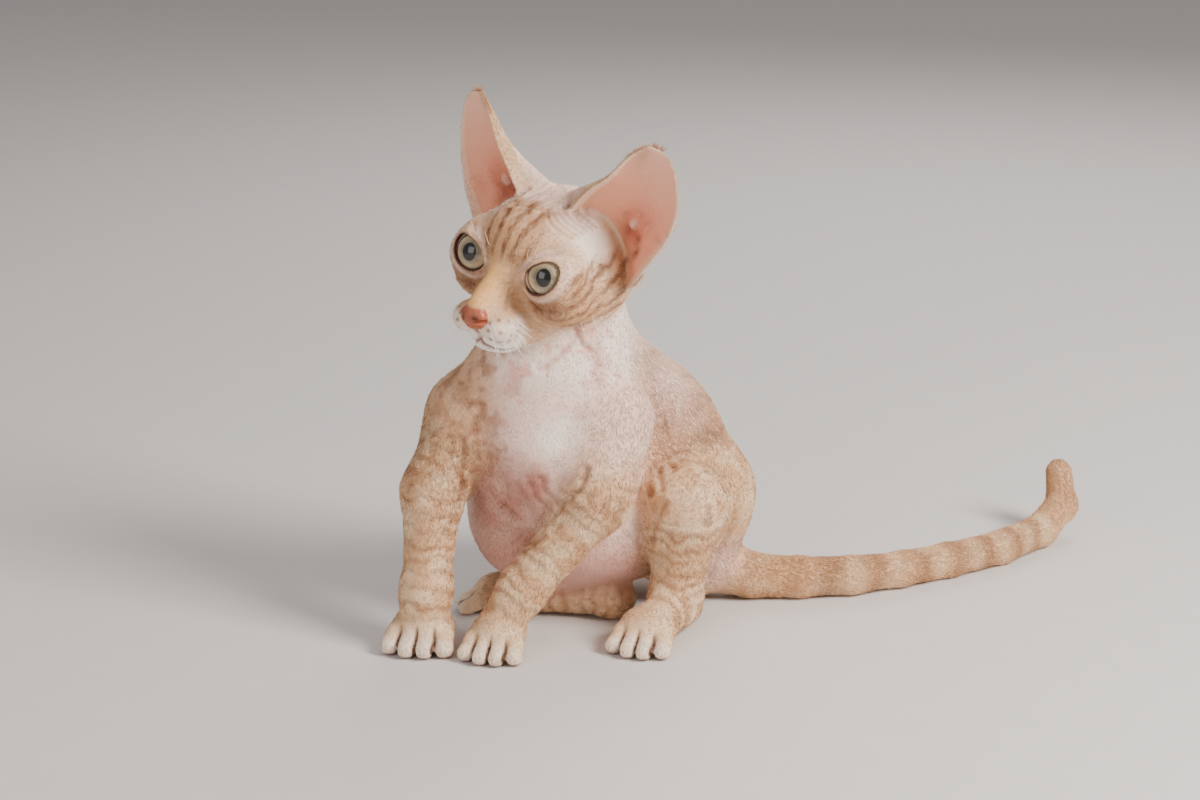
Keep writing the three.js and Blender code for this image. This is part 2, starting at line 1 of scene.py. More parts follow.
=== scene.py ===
"""A Devon Rex kitten of about twelve weeks, sitting with its head turned to its right.

The skin is one closed surface, meshed from the same fields as the solids: eggs and tapered bones,
blended where they grow from one another. Lengths are millimetres in the frame that the solids were
drawn in, and metres once a mesh is made. Markings, with painted shade and painted highlights among
them, are functions of a point on the skin, and skin and coat share them.
"""

import bpy
import numpy as np
import openvdb
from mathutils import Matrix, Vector


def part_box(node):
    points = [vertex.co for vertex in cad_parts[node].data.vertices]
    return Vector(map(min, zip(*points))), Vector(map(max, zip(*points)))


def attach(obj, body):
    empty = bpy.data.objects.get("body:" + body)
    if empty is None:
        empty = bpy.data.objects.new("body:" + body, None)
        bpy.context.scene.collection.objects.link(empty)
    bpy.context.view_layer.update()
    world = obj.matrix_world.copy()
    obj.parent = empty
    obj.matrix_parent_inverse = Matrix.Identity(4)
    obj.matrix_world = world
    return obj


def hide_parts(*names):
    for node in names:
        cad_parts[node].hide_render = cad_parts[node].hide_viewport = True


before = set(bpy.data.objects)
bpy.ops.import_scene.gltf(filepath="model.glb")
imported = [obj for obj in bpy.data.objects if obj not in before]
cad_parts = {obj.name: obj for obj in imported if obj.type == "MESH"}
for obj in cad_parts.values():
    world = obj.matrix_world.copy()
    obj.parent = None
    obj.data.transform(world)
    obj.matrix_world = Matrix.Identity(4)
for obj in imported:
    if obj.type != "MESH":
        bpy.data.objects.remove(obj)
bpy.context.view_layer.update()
RANDOM = np.random.default_rng(12)

# Head, in its own frame: forward, left and up from the middle of the skull
HEAD_PLACE = (40.5, 35.4, 172.5)
HEAD_YAW, HEAD_PITCH, HEAD_ROLL = 40.4, 6.7, 7.6
EYE_RADIUS = 11.0
EYE_CENTRE = (20.2, 19.8, 2.4)
EYE_TURN = 10.0
EYE_OPENING = (7.7, 6.8)
OPENING_AT = (1.0, 2.4)
OPENING_SLOPE = 0.25
LID = 1.3
IRIS_RADIUS = 7.4
PUPIL = (3.2, 3.9)
GAZE_TURN = {1: 25.0, -1: 12.0}
GAZE_RISE = 19.0

EAR_INNER_EDGE = ((3, 13, 24), (1.6, 22.5, 36.5), (-1.9, 31.4, 45), (-5.3, 39.1, 55), (-8.8, 47.5, 61.6))
EAR_OUTER_EDGE = (
    (-17, 27, -17),
    (-6, 43.5, -4),
    (-6, 52, 8),
    (-9.5, 59, 20),
    (-12, 62.5, 34),
    (-12.2, 60.5, 51),
    (-10.8, 54.5, 60.2),
)
EAR_FACING = (0.945, 0.322, 0.065)
EAR_DEPTH = 22.0
EAR_SHEET = 1.7

# Joints of the pose, with the half-thickness of the flesh
LEGS = {
    "front_right": {
        "joints": ((5, 44, 97, 18), (-10, 25, 68, 13.5), (-13, 12, 25, 11), (-14, 10, 13, 10.5)),
        "paw": ((-15.5, 6), (-0.18, -1), 34),
    },
    "front_left": {
        "joints": ((70, 25, 100, 18), (64, 11, 68, 13), (30, 8, 28, 10.4), (20, 4, 13, 10)),
        "paw": ((17.5, -3), (-0.25, -1), 30.5),
    },
    "hind_left": {
        "joints": ((112, 68, 54, 24), (102, 28, 61, 17), (98, 32, 14, 11.5), (90, 13, 11, 10)),
        "paw": ((83, 5), (-0.35, -1), 31),
    },
    "hind_right": {
        "joints": ((96, 102, 36, 22), (52, 96, 26, 14), (70, 48, 10, 9), (26, 56, 9, 9)),
        "paw": ((12, 59), (-1, 0.25), 28),
    },
}
TAIL = (
    (118, 76, 16, 14),
    (134, 76, 10.5, 11),
    (157, 76, 9.4, 10),
    (181, 80, 8.8, 9.4),
    (205, 90, 8.3, 8.9),
    (230, 104, 8, 8.6),
    (257, 123, 7.9, 8.5),
    (280, 148, 8, 8.4),
    (293, 166, 15, 8.2),
    (292, 173, 30, 7),
)
LEG_BLEND = 8.0
ROOT_BLEND = 12.0
SOLE_DIP = 0.6

# Skin: the cell of its mesh, and how far it lies inside the solids
CELL = 0.72
BLOCK = 4
COAT_DEPTH = 0.8
FACE_DEPTH = 0.35
EAR_ROOT_BLEND = 3.0

CAMERA_PLACE = (64.0, -1170.6, 452.7)
CAMERA_DIP = 16.0
CAMERA_LENS = 85.0


# Vectors
def unit(a):
    a = np.asarray(a, float)
    return a / np.maximum(np.linalg.norm(a, axis=-1, keepdims=True), 1e-9)


def dot(a, b):
    return (a * b).sum(-1)


def ramp(x, low, high):
    t = np.clip((x - low) / (high - low), 0, 1)
    return t * t * (3 - 2 * t)


def bell(x, width):
    return np.exp(-((x / width) ** 2))


class Frame:
    """A place with three axes: forward, left and up."""

    def __init__(self, place, forward, up=(0, 0, 1), axes=None):
        self.place = np.asarray(place, float)
        if axes is None:
            f = unit(forward)
            l = unit(np.cross(up, f))
            axes = np.stack([f, l, np.cross(f, l)])
        self.axes = axes

    def into(self, p):
        return (p - self.place) @ self.axes.T

    def out(self, q):
        return np.asarray(q, float) @ self.axes + self.place

    def turn(self, q):
        return np.asarray(q, float) @ self.axes


def head_frame():
    yaw, pitch, roll = np.radians([HEAD_YAW, HEAD_PITCH, HEAD_ROLL])
    level = np.array([-np.sin(yaw), -np.cos(yaw), 0])
    side = np.array([np.cos(yaw), -np.sin(yaw), 0])
    up = np.array([0, 0, 1.0])
    rise = np.cos(pitch) * up + np.sin(pitch) * level
    f = np.cos(pitch) * level - np.sin(pitch) * up
    l = np.cos(roll) * side - np.sin(roll) * rise
    u = np.cos(roll) * rise + np.sin(roll) * side
    return Frame(HEAD_PLACE, None, axes=np.stack([f, l, u]))


HEAD = head_frame()
SIDES = (1, -1)


def eye_frame(side, turn):
    way = np.array([np.cos(np.radians(turn)), np.sin(np.radians(turn)), 0])
    forward, left, up = EYE_CENTRE
    return Frame(HEAD.out([forward, left * side, up]), HEAD.turn(way), HEAD.axes[2])


# The frame of the solids is the drawing's, moved so that its box stands over the origin
def frame_shift():
    low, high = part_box("eye_left")
    middle = (np.array(low) + np.array(high)) * 500
    return middle - eye_frame(1, EYE_TURN).place


SHIFT = frame_shift()


def metres(p):
    return (np.asarray(p, float) + SHIFT) / 1000


# Fields: below zero inside, zero on the surface, and about the distance elsewhere
def smooth_min(a, b, k):
    h = np.maximum(k - np.abs(a - b), 0) / k
    return np.minimum(a, b) - h * h * k / 4


def smooth_max(a, b, k):
    return -smooth_min(-a, -b, k)


def egg(p, centre, radii):
    s = (p - np.asarray(centre, p.dtype)) / np.asarray(radii, p.dtype)
    inner = np.sqrt(dot(s, s))
    s = s / np.asarray(radii, p.dtype)
    slope = np.sqrt(dot(s, s))
    return inner * (inner - 1) / np.maximum(slope, 1e-6)


def turned_egg(p, centre, radii, forward):
    return egg(Frame(centre, forward).into(p).astype(p.dtype), (0, 0, 0), radii)


def along_bone(p, a, b):
    a = np.asarray(a, p.dtype)
    run = np.asarray(b, p.dtype) - a
    t = np.clip((p - a) @ run / dot(run, run), 0, 1)
    gap = p - a - t[:, None] * run
    return t, np.sqrt(dot(gap, gap))


def bone(p, a, b, ra, rb):
    t, gap = along_bone(p, a, b)
    return gap - (ra + (rb - ra) * t)


def chain(p, joints, blend):
    d = None
    for a, b in zip(joints, joints[1:]):
        piece = bone(p, a[:3], b[:3], a[3], b[3])
        d = piece if d is None else smooth_min(d, piece, blend)
    return d


def blended(pieces):
    d = None
    for k, piece in pieces:
        d = piece if d is None else smooth_min(d, piece, k)
    return d


def skull(q):
    forward, left, up = EYE_CENTRE
    pieces = [
        (10, egg(q, (-10, 0, 0), (31, 29, 28))),
        (12, egg(q, (9, 0, 9), (21, 24, 17))),
        (8, bone(q, (22, 0, 2), (44, 0, -9), 8, 4.8)),
        (7, egg(q, (31, 0, -17), (14, 12, 9.5))),
        (4, egg(q, (35, 0, -27.5), (8.5, 8, 6))),
    ]
    for s in SIDES:
        pieces += [
            (9, egg(q, (10, 21 * s, -10), (18, 13, 12))),
            (9, egg(q, (-8, 23 * s, -9), (17, 13.5, 14))),
            (8, bone(q, (15, 25 * s, 8), (17, 26 * s, -8), 7.5, 7.5)),
            (4, egg(q, (forward, left * s, up), (EYE_RADIUS + LID,) * 3)),
            (4, egg(q, (19.5, 23 * s, 1), (11.5, 11.5, 11.5))),
            (4, egg(q, (38.5, 8.2 * s, -18.5), (9.5, 8.3, 7.2))),
            (6, bone(q, (30, 6 * s, -25.5), (-2, 20 * s, -19), 7.5, 8.5)),
        ]
    return blended(pieces)


NOSE = (47, 0, -13.5)
NOSE_RADII = (4, 7.2, 5.2)


def face(p):
    """The head with its nose, nostrils and the openings of the eyes."""
    q = HEAD.into(p).astype(p.dtype)
    d = skull(q) + FACE_DEPTH
    d = smooth_min(d, egg(q, NOSE, NOSE_RADII) + 0.2, 1.6)
    for s in SIDES:
        d = smooth_max(d, -egg(q, (50.6, 3.8 * s, -14), (2.8, 1.7, 1.4)), 0.5)
        d = smooth_max(d, -egg(q, (48.2, 6.4 * s, -14.2), (2.6, 2.6, 1.0)), 0.5)
        e = eye_frame(s, EYE_TURN).into(p)
        x, y, z = e[:, 0], e[:, 1] * s, e[:, 2]
        rim = egg(e.astype(p.dtype), (0, 0, 0), (EYE_RADIUS + LID + 0.25,) * 3)
        y = y - OPENING_AT[0]
        z = z - OPENING_AT[1] - OPENING_SLOPE * y
        corner = 1 + 0.12 * np.clip(-y / EYE_OPENING[0], 0, 1) ** 3
        ring = np.sqrt((y / (EYE_OPENING[0] * corner)) ** 2 + (z / EYE_OPENING[1]) ** 2) - 1
        opening = np.maximum(ring * EYE_OPENING[1], 2.0 - x).astype(p.dtype)
        lid = np.maximum(rim, np.abs(ring * EYE_OPENING[1] - 0.9) - 0.9).astype(p.dtype)
        d = smooth_min(d, np.maximum(lid, 2.0 - x).astype(p.dtype), 1.2)
        d = smooth_max(d, -opening, 0.7)
    return d


def trunk(p):
    return blended(
        [
            (1, bone(p, (50, 45, 156), (46, 43, 122), 25, 32)),
            (14, turned_egg(p, (42, 44, 88), (37, 36, 46), (-0.57, -0.82, 0))),
            (12, bone(p, (25, 44, 116), (7, 44, 99), 21, 18)),
            (12, bone(p, (60, 50, 128), (84, 66, 96), 18, 24)),
            (12, egg(p, (40, 52, 52), (37, 32, 38))),
            (14, turned_egg(p, (70, 59, 54), (44, 37, 40), (-0.78, -0.62, 0))),
            (14, turned_egg(p, (91, 73, 71), (33, 31, 36), (-0.85, -0.5, 0))),
            (14, turned_egg(p, (104, 78, 34), (26, 29, 34.6), (-0.85, -0.5, 0))),
        ]
    )


def toes(width):
    """(root, tip, radius) of the four toes, in the frame of the paw."""
    radius = width / 7.3
    spread = (width - 2 * radius) / 3
    for toe in range(4):
        off = toe - 1.5
        tip = np.array([10.5 - 1.5 * off * off, off * spread, radius - SOLE_DIP])
        yield np.array([tip[0] - 13, tip[1] * 0.72, 10]), tip, radius


def paw_frame(leg):
    (x, y), heading, width = LEGS[leg]["paw"]
    return Frame((x, y, 0), (*heading, 0)), width


def paw(p, leg):
    place, width = paw_frame(leg)
    q = place.into(p).astype(p.dtype)
    d = egg(q, (-7, 0, 8.9), (13, width * 0.41, 9.5))
    for root, tip, radius in toes(width):
        finger = bone(q, root, tip, radius, radius)
        knuckle = egg(q, root * 0.55 + tip * 0.45 + (0, 0, 0.5), (4.5, radius, radius))
        d = smooth_min(d, smooth_min(finger, knuckle, 2.0), 1.3)
    return d + FACE_DEPTH


def limb(p, leg):
    flesh = chain(p, LEGS[leg]["joints"], LEG_BLEND) + COAT_DEPTH
    return smooth_min(flesh, paw(p, leg), 4.0)


def body(p):
    """Everything but the ears. A leg blends into the trunk only round its first bone."""
    d_trunk = trunk(p) + COAT_DEPTH
    d = smooth_min(d_trunk, face(p), 5.0)
    for leg, shape in LEGS.items():
        near = ramp(chain(p, shape["joints"][:2], LEG_BLEND), 16.0, 1.0)
        blend = (3.0 + (ROOT_BLEND - 3.0) * near).astype(p.dtype)
        d = np.minimum(d, smooth_min(d_trunk, limb(p, leg), blend))
    tail = chain(p, TAIL, 3.0) + COAT_DEPTH
    d = smooth_min(d, tail, 3.0)
    return smooth_max(d, 0.25 - p[:, 2], 0.8)


# Ears: a cupped sheet between two edges, with the folds of the canal
def curve(points, t):
    """A Catmull-Rom curve through the points, at t from 0 to 1."""
    p = np.asarray(points, float)
    p = np.vstack([2 * p[0] - p[1], p, 2 * p[-1] - p[-2]])
    x = np.clip(np.asarray(t, float), 0, 1) * (len(p) - 3)
    n = np.minimum(x.astype(int), len(p) - 4)
    x = (x - n)[..., None]
    a, b, c, d = p[n], p[n + 1], p[n + 2], p[n + 3]
    return 0.5 * (2 * b + (c - a) * x + (2 * a - 5 * b + 4 * c - d) * x**2 + (3 * b - a - 3 * c + d) * x**3)


# (across, along, width across, width along, height in millimetres) of the folds inside the ear
EAR_FOLDS = (
    (0.57, 0.34, 0.035, 0.035, 2.8),
    (0.54, 0.41, 0.060, 0.018, 1.6),
    (0.45, 0.33, 0.045, 0.040, -3.2),
    (0.57, 0.27, 0.050, 0.025, -2.8),
    (0.71, 0.41, 0.028, 0.055, 2.0),
    (0.72, 0.31, 0.050, 0.040, -2.6),
    (0.80, 0.25, 0.050, 0.040, -2.2),
    (0.51, 0.07, 0.060, 0.040, 2.4),
    (0.90, 0.43, 0.050, 0.022, 2.2),
    (0.86, 0.36, 0.050, 0.030, -1.6),
    (0.40, 0.60, 0.020, 0.200, 0.5),
)


def ear_sheet(across, along):
    a = curve(EAR_INNER_EDGE, along)
    b = curve(EAR_OUTER_EDGE, along)
    bow = np.sin(np.pi * np.clip(across, 0, 1)) ** 0.65
    depth = (0.8 + EAR_DEPTH * (1 - along) ** 1.1) * bow
    for s, t, ws, wt, height in EAR_FOLDS:
        depth = depth - height * bell(across - s, ws) * bell(along - t, wt)
    return a + (b - a) * across[..., None] - np.array(EAR_FACING) * depth[..., None]


EAR_ACROSS, EAR_ALONG = 150, 170


def ear_layers():
    """The back of the ear, the direction of its thickness, and (across, along), in the head's frame."""
    s, t = np.meshgrid(np.linspace(0, 1, EAR_ACROSS), np.linspace(0, 1, EAR_ALONG))
    back = ear_sheet(s, t)
    step = 0.01
    sc, tc = np.clip(s, step, 1 - step), np.clip(t, step, 1 - step)
    du = ear_sheet(sc + step, tc) - ear_sheet(sc - step, tc)
    dv = ear_sheet(sc, tc + step) - ear_sheet(sc, tc - step)
    return back, unit(np.cross(du, dv)), s, t


EAR = ear_layers()


def ear_mesh(side):
    """A closed mesh of one ear in the drawing's frame."""
    back, ahead, s, t = EAR
    thick = EAR_SHEET * (0.6 + 0.4 * np.sin(np.pi * s)) * (1 - 0.25 * ramp(t, 0.75, 1.0))
    swell = (1.5 + 18 * (1 - t) ** 3) * ramp(s, 0.42, 0.10) * ramp(s, 0.0, 0.05)
    root = np.array([-0.45, -0.9, 0]) * swell[..., None]
    layers = [back + ahead * 0.15 + root, back + ahead * (thick - 0.1)[..., None]]
    flip = np.array([1, side, 1])
    points = np.concatenate([HEAD.out(layer.reshape(-1, 3) * flip) for layer in layers])
    n = np.arange(EAR_ALONG * EAR_ACROSS).reshape(EAR_ALONG, EAR_ACROSS)
    far = n + n.size
    quads = [
        np.stack([n[:-1, :-1], n[1:, :-1], n[1:, 1:], n[:-1, 1:]], -1).reshape(-1, 4),
        np.stack([far[:-1, :-1], far[:-1, 1:], far[1:, 1:], far[1:, :-1]], -1).reshape(-1, 4),
    ]
    for edge in (n[:, 0], n[-1, :], n[::-1, -1], n[0, ::-1]):
        quads.append(np.stack([edge[:-1], edge[:-1] + n.size, edge[1:] + n.size, edge[1:]], -1))
    quads = np.concatenate(quads)
    return points, quads if side > 0 else quads[:, ::-1]


# Meshing
def skin_surface():
    low = np.array([-32.0, -24.0, -3.0])
    high = np.array([306.0, 186.0, 262.0])
    blocks = np.ceil((high - low) / (CELL * BLOCK)).astype(int)
    axes = [low[i] + np.arange(blocks[i] + 1) * CELL * BLOCK for i in range(3)]
    nodes = np.stack(np.meshgrid(*axes, indexing="ij"), -1).astype(np.float32)
    coarse = body(nodes.reshape(-1, 3)).reshape(nodes.shape[:3])
    nearest = np.full(blocks, 1e3, np.float32)
    for i in (0, 1):
        for j in (0, 1):
            for k in (0, 1):
                corner = coarse[i : i + blocks[0], j : j + blocks[1], k : k + blocks[2]]
                nearest = np.minimum(nearest, np.abs(corner))
    close = nearest < CELL * BLOCK * 1.25
    far = np.where(coarse[:-1, :-1, :-1] < 0, -9.0, 9.0).astype(np.float32)
    grid = far.repeat(BLOCK, 0).repeat(BLOCK, 1).repeat(BLOCK, 2)
    at = np.argwhere(close)
    inner = np.stack(np.meshgrid(*[np.arange(BLOCK)] * 3, indexing="ij"), -1).reshape(-1, 3)
    index = (at[:, None, :] * BLOCK + inner[None]).reshape(-1, 3)
    for part in np.array_split(index, max(1, len(index) // 400000)):
        value = body((low + part * CELL).astype(np.float32))
        grid[part[:, 0], part[:, 1], part[:, 2]] = value
    for side in SIDES:
        points, quads = ear_mesh(side)
        points = ((points - low) / CELL).astype(np.float32)
        level = openvdb.FloatGrid.createLevelSetFromPolygons(
            points, quads=quads.astype(np.uint32), halfWidth=5.0
        )
        first = np.floor(points.min(0)).astype(int) - 6
        last = np.ceil(points.max(0)).astype(int) + 7
        sheet = np.empty(last - first, np.float32)
        level.copyToArray(sheet, ijk=tuple(int(n) for n in first))
        room = grid[first[0] : last[0], first[1] : last[1], first[2] : last[2]]
        room[:] = smooth_min(room, sheet * CELL, EAR_ROOT_BLEND)
    field = openvdb.FloatGrid(9.0)
    field.copyFromArray(grid)
    points, quads = field.convertToQuads(isovalue=0.0)
    return low + points.astype(float) * CELL, quads.astype(np.int64)


def largest_shell(points, quads):
    """Drops every closed surface but the one with the most vertices."""
    label = np.arange(len(points))
    while True:
        ring = label[quads].min(1)
        new = label.copy()
        np.minimum.at(new, quads.ravel(), np.repeat(ring, 4))
        new = new[new]
        if (new == label).all():
            break
        label = new
    kept = label == np.bincount(label).argmax()
    order = np.cumsum(kept) - 1
    return points[kept], order[quads[kept[quads[:, 0]]]]


def vertex_normals(points, quads):
    a, b, c, d = (points[quads[:, n]] for n in range(4))
    flat = np.cross(c - a, d - b)
    normal = np.zeros_like(points)
    for n in range(4):
        for axis in range(3):
            normal[:, axis] += np.bincount(quads[:, n], flat[:, axis], len(points))
    return unit(normal)


def relaxed(points, quads, weight, rounds):
    """Moves each point towards the mean of its neighbours."""
    ends = np.concatenate([quads, np.roll(quads, 1, 1)], 0).reshape(-1)
    others = np.concatenate([np.roll(quads, 1, 1), quads], 0).reshape(-1)
    count = np.bincount(ends, minlength=len(points))[:, None]
    for _ in range(rounds):
        mean = np.stack([np.bincount(ends, points[others, i], len(points)) for i in range(3)], -1)
        points = points + weight[:, None] * (mean / np.maximum(count, 1) - points)
    return points


points, quads = largest_shell(*skin_surface())
normals = vertex_normals(points, quads)
if dot(normals, points - points.mean(0)).mean() < 0:
    quads = quads[:, ::-1]
    normals = -normals


# Regions of the skin: each has a weight at each vertex that falls off with the distance to its flesh
def distances(p):
    far = {"head": skull(HEAD.into(p)), "trunk": trunk(p), "tail": chain(p, TAIL, 3.0)}
    for leg, shape in LEGS.items():
        far[leg] = np.minimum(chain(p, shape["joints"], LEG_BLEND), paw(p, leg))
    return far


def ear_place(p, side):
    """(distance, across, along, front) of each point to the ear of one side."""
    back, ahead, s, t = (grid[::4, ::4].reshape(-1, *grid.shape[2:]) for grid in EAR)
    sheet = HEAD.out(back * (1, side, 1))
    ahead = HEAD.turn(ahead * (1, side, 1))
    q = HEAD.into(p)
    near = np.flatnonzero((q[:, 1] * side > 8) & (q[:, 2] > -30) & (q[:, 0] < 12))
    far, across, along = np.full(len(p), 99.0), np.zeros(len(p)), np.zeros(len(p))
    inside = np.zeros(len(p))
    for part in np.array_split(near, max(1, len(near) // 4000)):
        gap = (p[part][:, None] - sheet[None]).astype(np.float32)
        square = dot(gap, gap)
        best = square.argmin(1)
        step = gap[np.arange(len(part)), best]
        out = dot(step, ahead[best])
        far[part] = np.sqrt(square[np.arange(len(part)), best])
        across[part], along[part] = s[best], t[best]
        inside[part] = ramp(out, 0.45, 1.0)
    return far, across, along, inside


FAR_FROM = distances(points)
EARS = {side: ear_place(points, side) for side in SIDES}
for side, name in ((1, "ear_left"), (-1, "ear_right")):
    rooted = np.where(skull(HEAD.into(points)) < 1.5, 4.0, 0.0)
    FAR_FROM[name] = np.where(EARS[side][0] < 3.5, EARS[side][0] - 1.6 + rooted, 40.0)
NAMES = list(FAR_FROM)
WEIGHT = np.stack([np.exp(-np.abs(FAR_FROM[name]) / 2.2) for name in NAMES], -1)
WEIGHT /= WEIGHT.sum(-1, keepdims=True)
SHARE = {name: WEIGHT[:, n] for n, name in enumerate(NAMES)}


# Noise: a lattice of random values, smoothly joined
def noise(p, size, seed=0):
    x = p / size
    n = np.floor(x).astype(np.int64)
    x = x - n
    x = x * x * (3 - 2 * x)
    value = np.zeros(len(p))
    for i in (0, 1):
        for j in (0, 1):
            for k in (0, 1):
                key = (n[:, 0] + i) * 73856093 ^ (n[:, 1] + j) * 19349663 ^ (n[:, 2] + k) * 83492791
                key = (key + seed * 2654435761) & 0xFFFFFFFF
                key = (key ^ (key >> 15)) * 2246822519 & 0xFFFFFFFF
                key = (key ^ (key >> 13)) * 3266489917 & 0xFFFFFFFF
                at = ((key ^ (key >> 16)) & 0xFFFF) / 65535.0
                share = np.abs(1 - i - x[:, 0]) * np.abs(1 - j - x[:, 1]) * np.abs(1 - k - x[:, 2])
                value += at * share
    return value * 2 - 1


# Creases: lines on the skin with a width and a depth in millimetres, whose grooves also get painted shade
def on_skin(line, steps=12):
    line = curve(line, np.linspace(0, 1, steps))
    return np.array([points[((points - at) ** 2).sum(1).argmin()] for at in line])


def gap_to(line, p):
    best = np.full(len(p), 99.0)
    low, high = line.min(0) - 6, line.max(0) + 6
    near = np.flatnonzero(((p > low) & (p < high)).all(1))
    for a, b in zip(line, line[1:]):
        if np.linalg.norm(b - a) > 0.05:
            best[near] = np.minimum(best[near], along_bone(p[near], a, b)[1])
    return best


def head_lines():
    lines = []
    for n in range(7):
        l = -8.0 + 2.6 * n
        lines.append((((15 - 0.5 * n, l, 27), (7, l + 0.7, 29), (-2, l + 2.4, 30), (-11, l + 4, 29)), 0.95, 1.1))
    for n in range(6):
        start = (10 - 2.6 * n, 9.5 + 0.6 * n, 27)
        lines.append(((start, (13 - 2.9 * n, 13, 25), (13 - 3.1 * n, 17.5, 22), (10 - 3.3 * n, 22, 18)), 0.95, 1.0))
        other = [(f, -l, u) for f, l, u in lines[-1][0]]
        lines.append((other, 0.95, 0.8))
    for s in SIDES:
        lines.append((((29.5, 11 * s, -2), (33, 9.5 * s, -7), (37, 9 * s, -10)), 0.9, 0.5))
        lines.append((((30, 17 * s, -9), (24, 25 * s, -9.5), (17, 31 * s, -5)), 1.0, 0.5))
        lines.append((((31, 12 * s, 8), (27, 18 * s, 13), (20, 24 * s, 13.5)), 1.1, 0.5))
    return [(HEAD.out(line), width, depth) for line, width, depth in lines]


MOUTH = ((48, 0, -21), (45, 1.2, -26), (42.5, 4, -28.3), (38.5, 8, -30.5), (33, 12, -31.5), (28, 14.5, -31))
BODY_LINES = (
    (((59.6, 16.9, 134.8), (56, 15.5, 139), (53.1, 16.7, 145), (53, 19, 150)), 1.1, 1.0),
    (((50, 14, 136), (44, 13, 131), (37, 14, 127)), 1.3, 0.7),
    (((66, 19, 137), (64, 18, 130), (60, 16, 124)), 1.4, 0.5),
    (((3.4, 19.1, 93), (4, 17, 86), (3, 18, 78), (2, 20, 70)), 1.6, 1.2),
    (((57, 1, 86), (54, 0.5, 78), (48, 4, 70), (42, 6, 62)), 1.5, 1.2),
    (((38, 3, 78), (39, 3, 72), (41, 5, 66)), 1.6, 0.6),
    (((32, 3, 74), (35, 4, 68), (38, 6, 61)), 1.7, 0.45),
    (((25, 5, 72), (29, 6, 66), (33, 9, 60)), 1.9, 0.4),
    (((4, 18, 72), (14, 9, 58), (30, 7, 50), (40, 6, 52)), 2.0, 1.6),
    (((8, 13, 92), (13, 9, 90), (18, 7, 91)), 1.2, 0.6),
    (((88, 34, 104), (86, 30, 94), (84, 24, 82), (84, 18, 70)), 1.9, 1.4),
    (((90, 34, 92), (94, 29, 84), (97, 24, 76)), 1.5, 0.7),
    (((93, 37, 98), (99, 32, 90), (104, 28, 83)), 1.6, 0.6),
    (((87, 30, 84), (90, 24, 76), (92, 18, 70)), 1.4, 0.6),
    (((86, 22, 44), (89, 17, 54), (93, 13, 66)), 1.4, 0.8),
    (((118, 46, 56), (121, 48, 42), (120, 50, 28), (116, 50, 14)), 2.0, 0.9),
)

moved = np.zeros(len(points))
crease = np.zeros(len(points))
LINES = head_lines() + [(np.array(line, float), width, depth) for line, width, depth in BODY_LINES]
for line, width, depth in LINES:
    gap = gap_to(on_skin(line), points)
    groove = bell(gap, width)
    moved += depth * (0.45 * bell(gap - 2 * width, width) - groove)
    crease = np.maximum(crease, groove * min(depth, 0.8))
mouth = np.zeros(len(points))
for side in SIDES:
    gap = gap_to(on_skin(HEAD.out(np.array(MOUTH) * (1, side, 1)), 20), points)
    fade = ramp(np.abs(HEAD.into(points)[:, 1]), 13.5, 7.5)
    mouth = np.maximum(mouth, fade * bell(gap, 0.8))
    moved += fade * (0.35 * bell(gap - 1.9, 1.1) - 1.2 * bell(gap, 0.8))


def toe_gaps(p, leg):
    """1 in the three gaps between the toes of a paw, 0 away from them."""
    place, width = paw_frame(leg)
    q = place.into(p)
    tips = [tip for _, tip, _ in toes(width)]
    gaps = np.zeros(len(p))
    for one, two in zip(tips, tips[1:]):
        middle = (one + two) / 2
        fan = middle[1] * (0.74 + 0.26 * ramp(q[:, 0], middle[0] - 13, middle[0]))
        start = middle[0] - 6.5
        gaps = np.maximum(gaps, bell(q[:, 1] - fan, 0.65) * ramp(q[:, 0], start, start + 4) * ramp(q[:, 2], 14, 11))
    return gaps


TOE_GAPS = {leg: toe_gaps(points, leg) * SHARE[leg] for leg in LEGS}
moved -= 1.0 * sum(TOE_GAPS.values())
on_ear = SHARE["ear_left"] + SHARE["ear_right"]
moved += 0.10 * noise(points, 2.4, 5) + 0.22 * (1 - on_ear) * noise(points, 7.5, 6)
moved *= 1 - 0.85 * on_ear
points = points + normals * moved[:, None]
points = relaxed(points, quads, 0.5 * on_ear + 0.12, 2)
points[:, 2] = np.maximum(points[:, 2], 0.12)
normals = vertex_normals(points, quads)


# Colours
def shade(red, green, blue):
    c = np.array([red, green, blue]) / 255
    return np.where(c < 0.04045, c / 12.92, ((c + 0.055) / 1.055) ** 2.4)


WHITE = shade(252, 240, 230)
CREAM = shade(238, 206, 168)
TAN = shade(210, 160, 116)
BROWN = shade(134, 88, 56)
# The next colour is painted shade, used in the nostrils and between the toes
SHADE_BROWN = shade(98, 62, 38)
PINK_WHITE = shade(246, 214, 198)
PINK = shade(228, 176, 160)
# MAUVE is painted shade on the lower chest; it also gives random blotches on the chest and, darkened, the soles
MAUVE = shade(178, 118, 102)
EAR_PINK = shade(240, 170, 138)
# The next colour is painted shade for the ear canal and the hollows of its folds
EAR_HOLLOW_SHADE = shade(150, 58, 36)
EAR_RIM = shade(246, 214, 190)
BRIDGE = shade(240, 182, 112)
NOSE_PINK = shade(176, 94, 66)
LID_BROWN = shade(84, 50, 38)
LIP = shade(168, 96, 84)


def paint(base, colour, amount):
    return base + (colour - base) * np.clip(amount, 0, 1)[:, None]


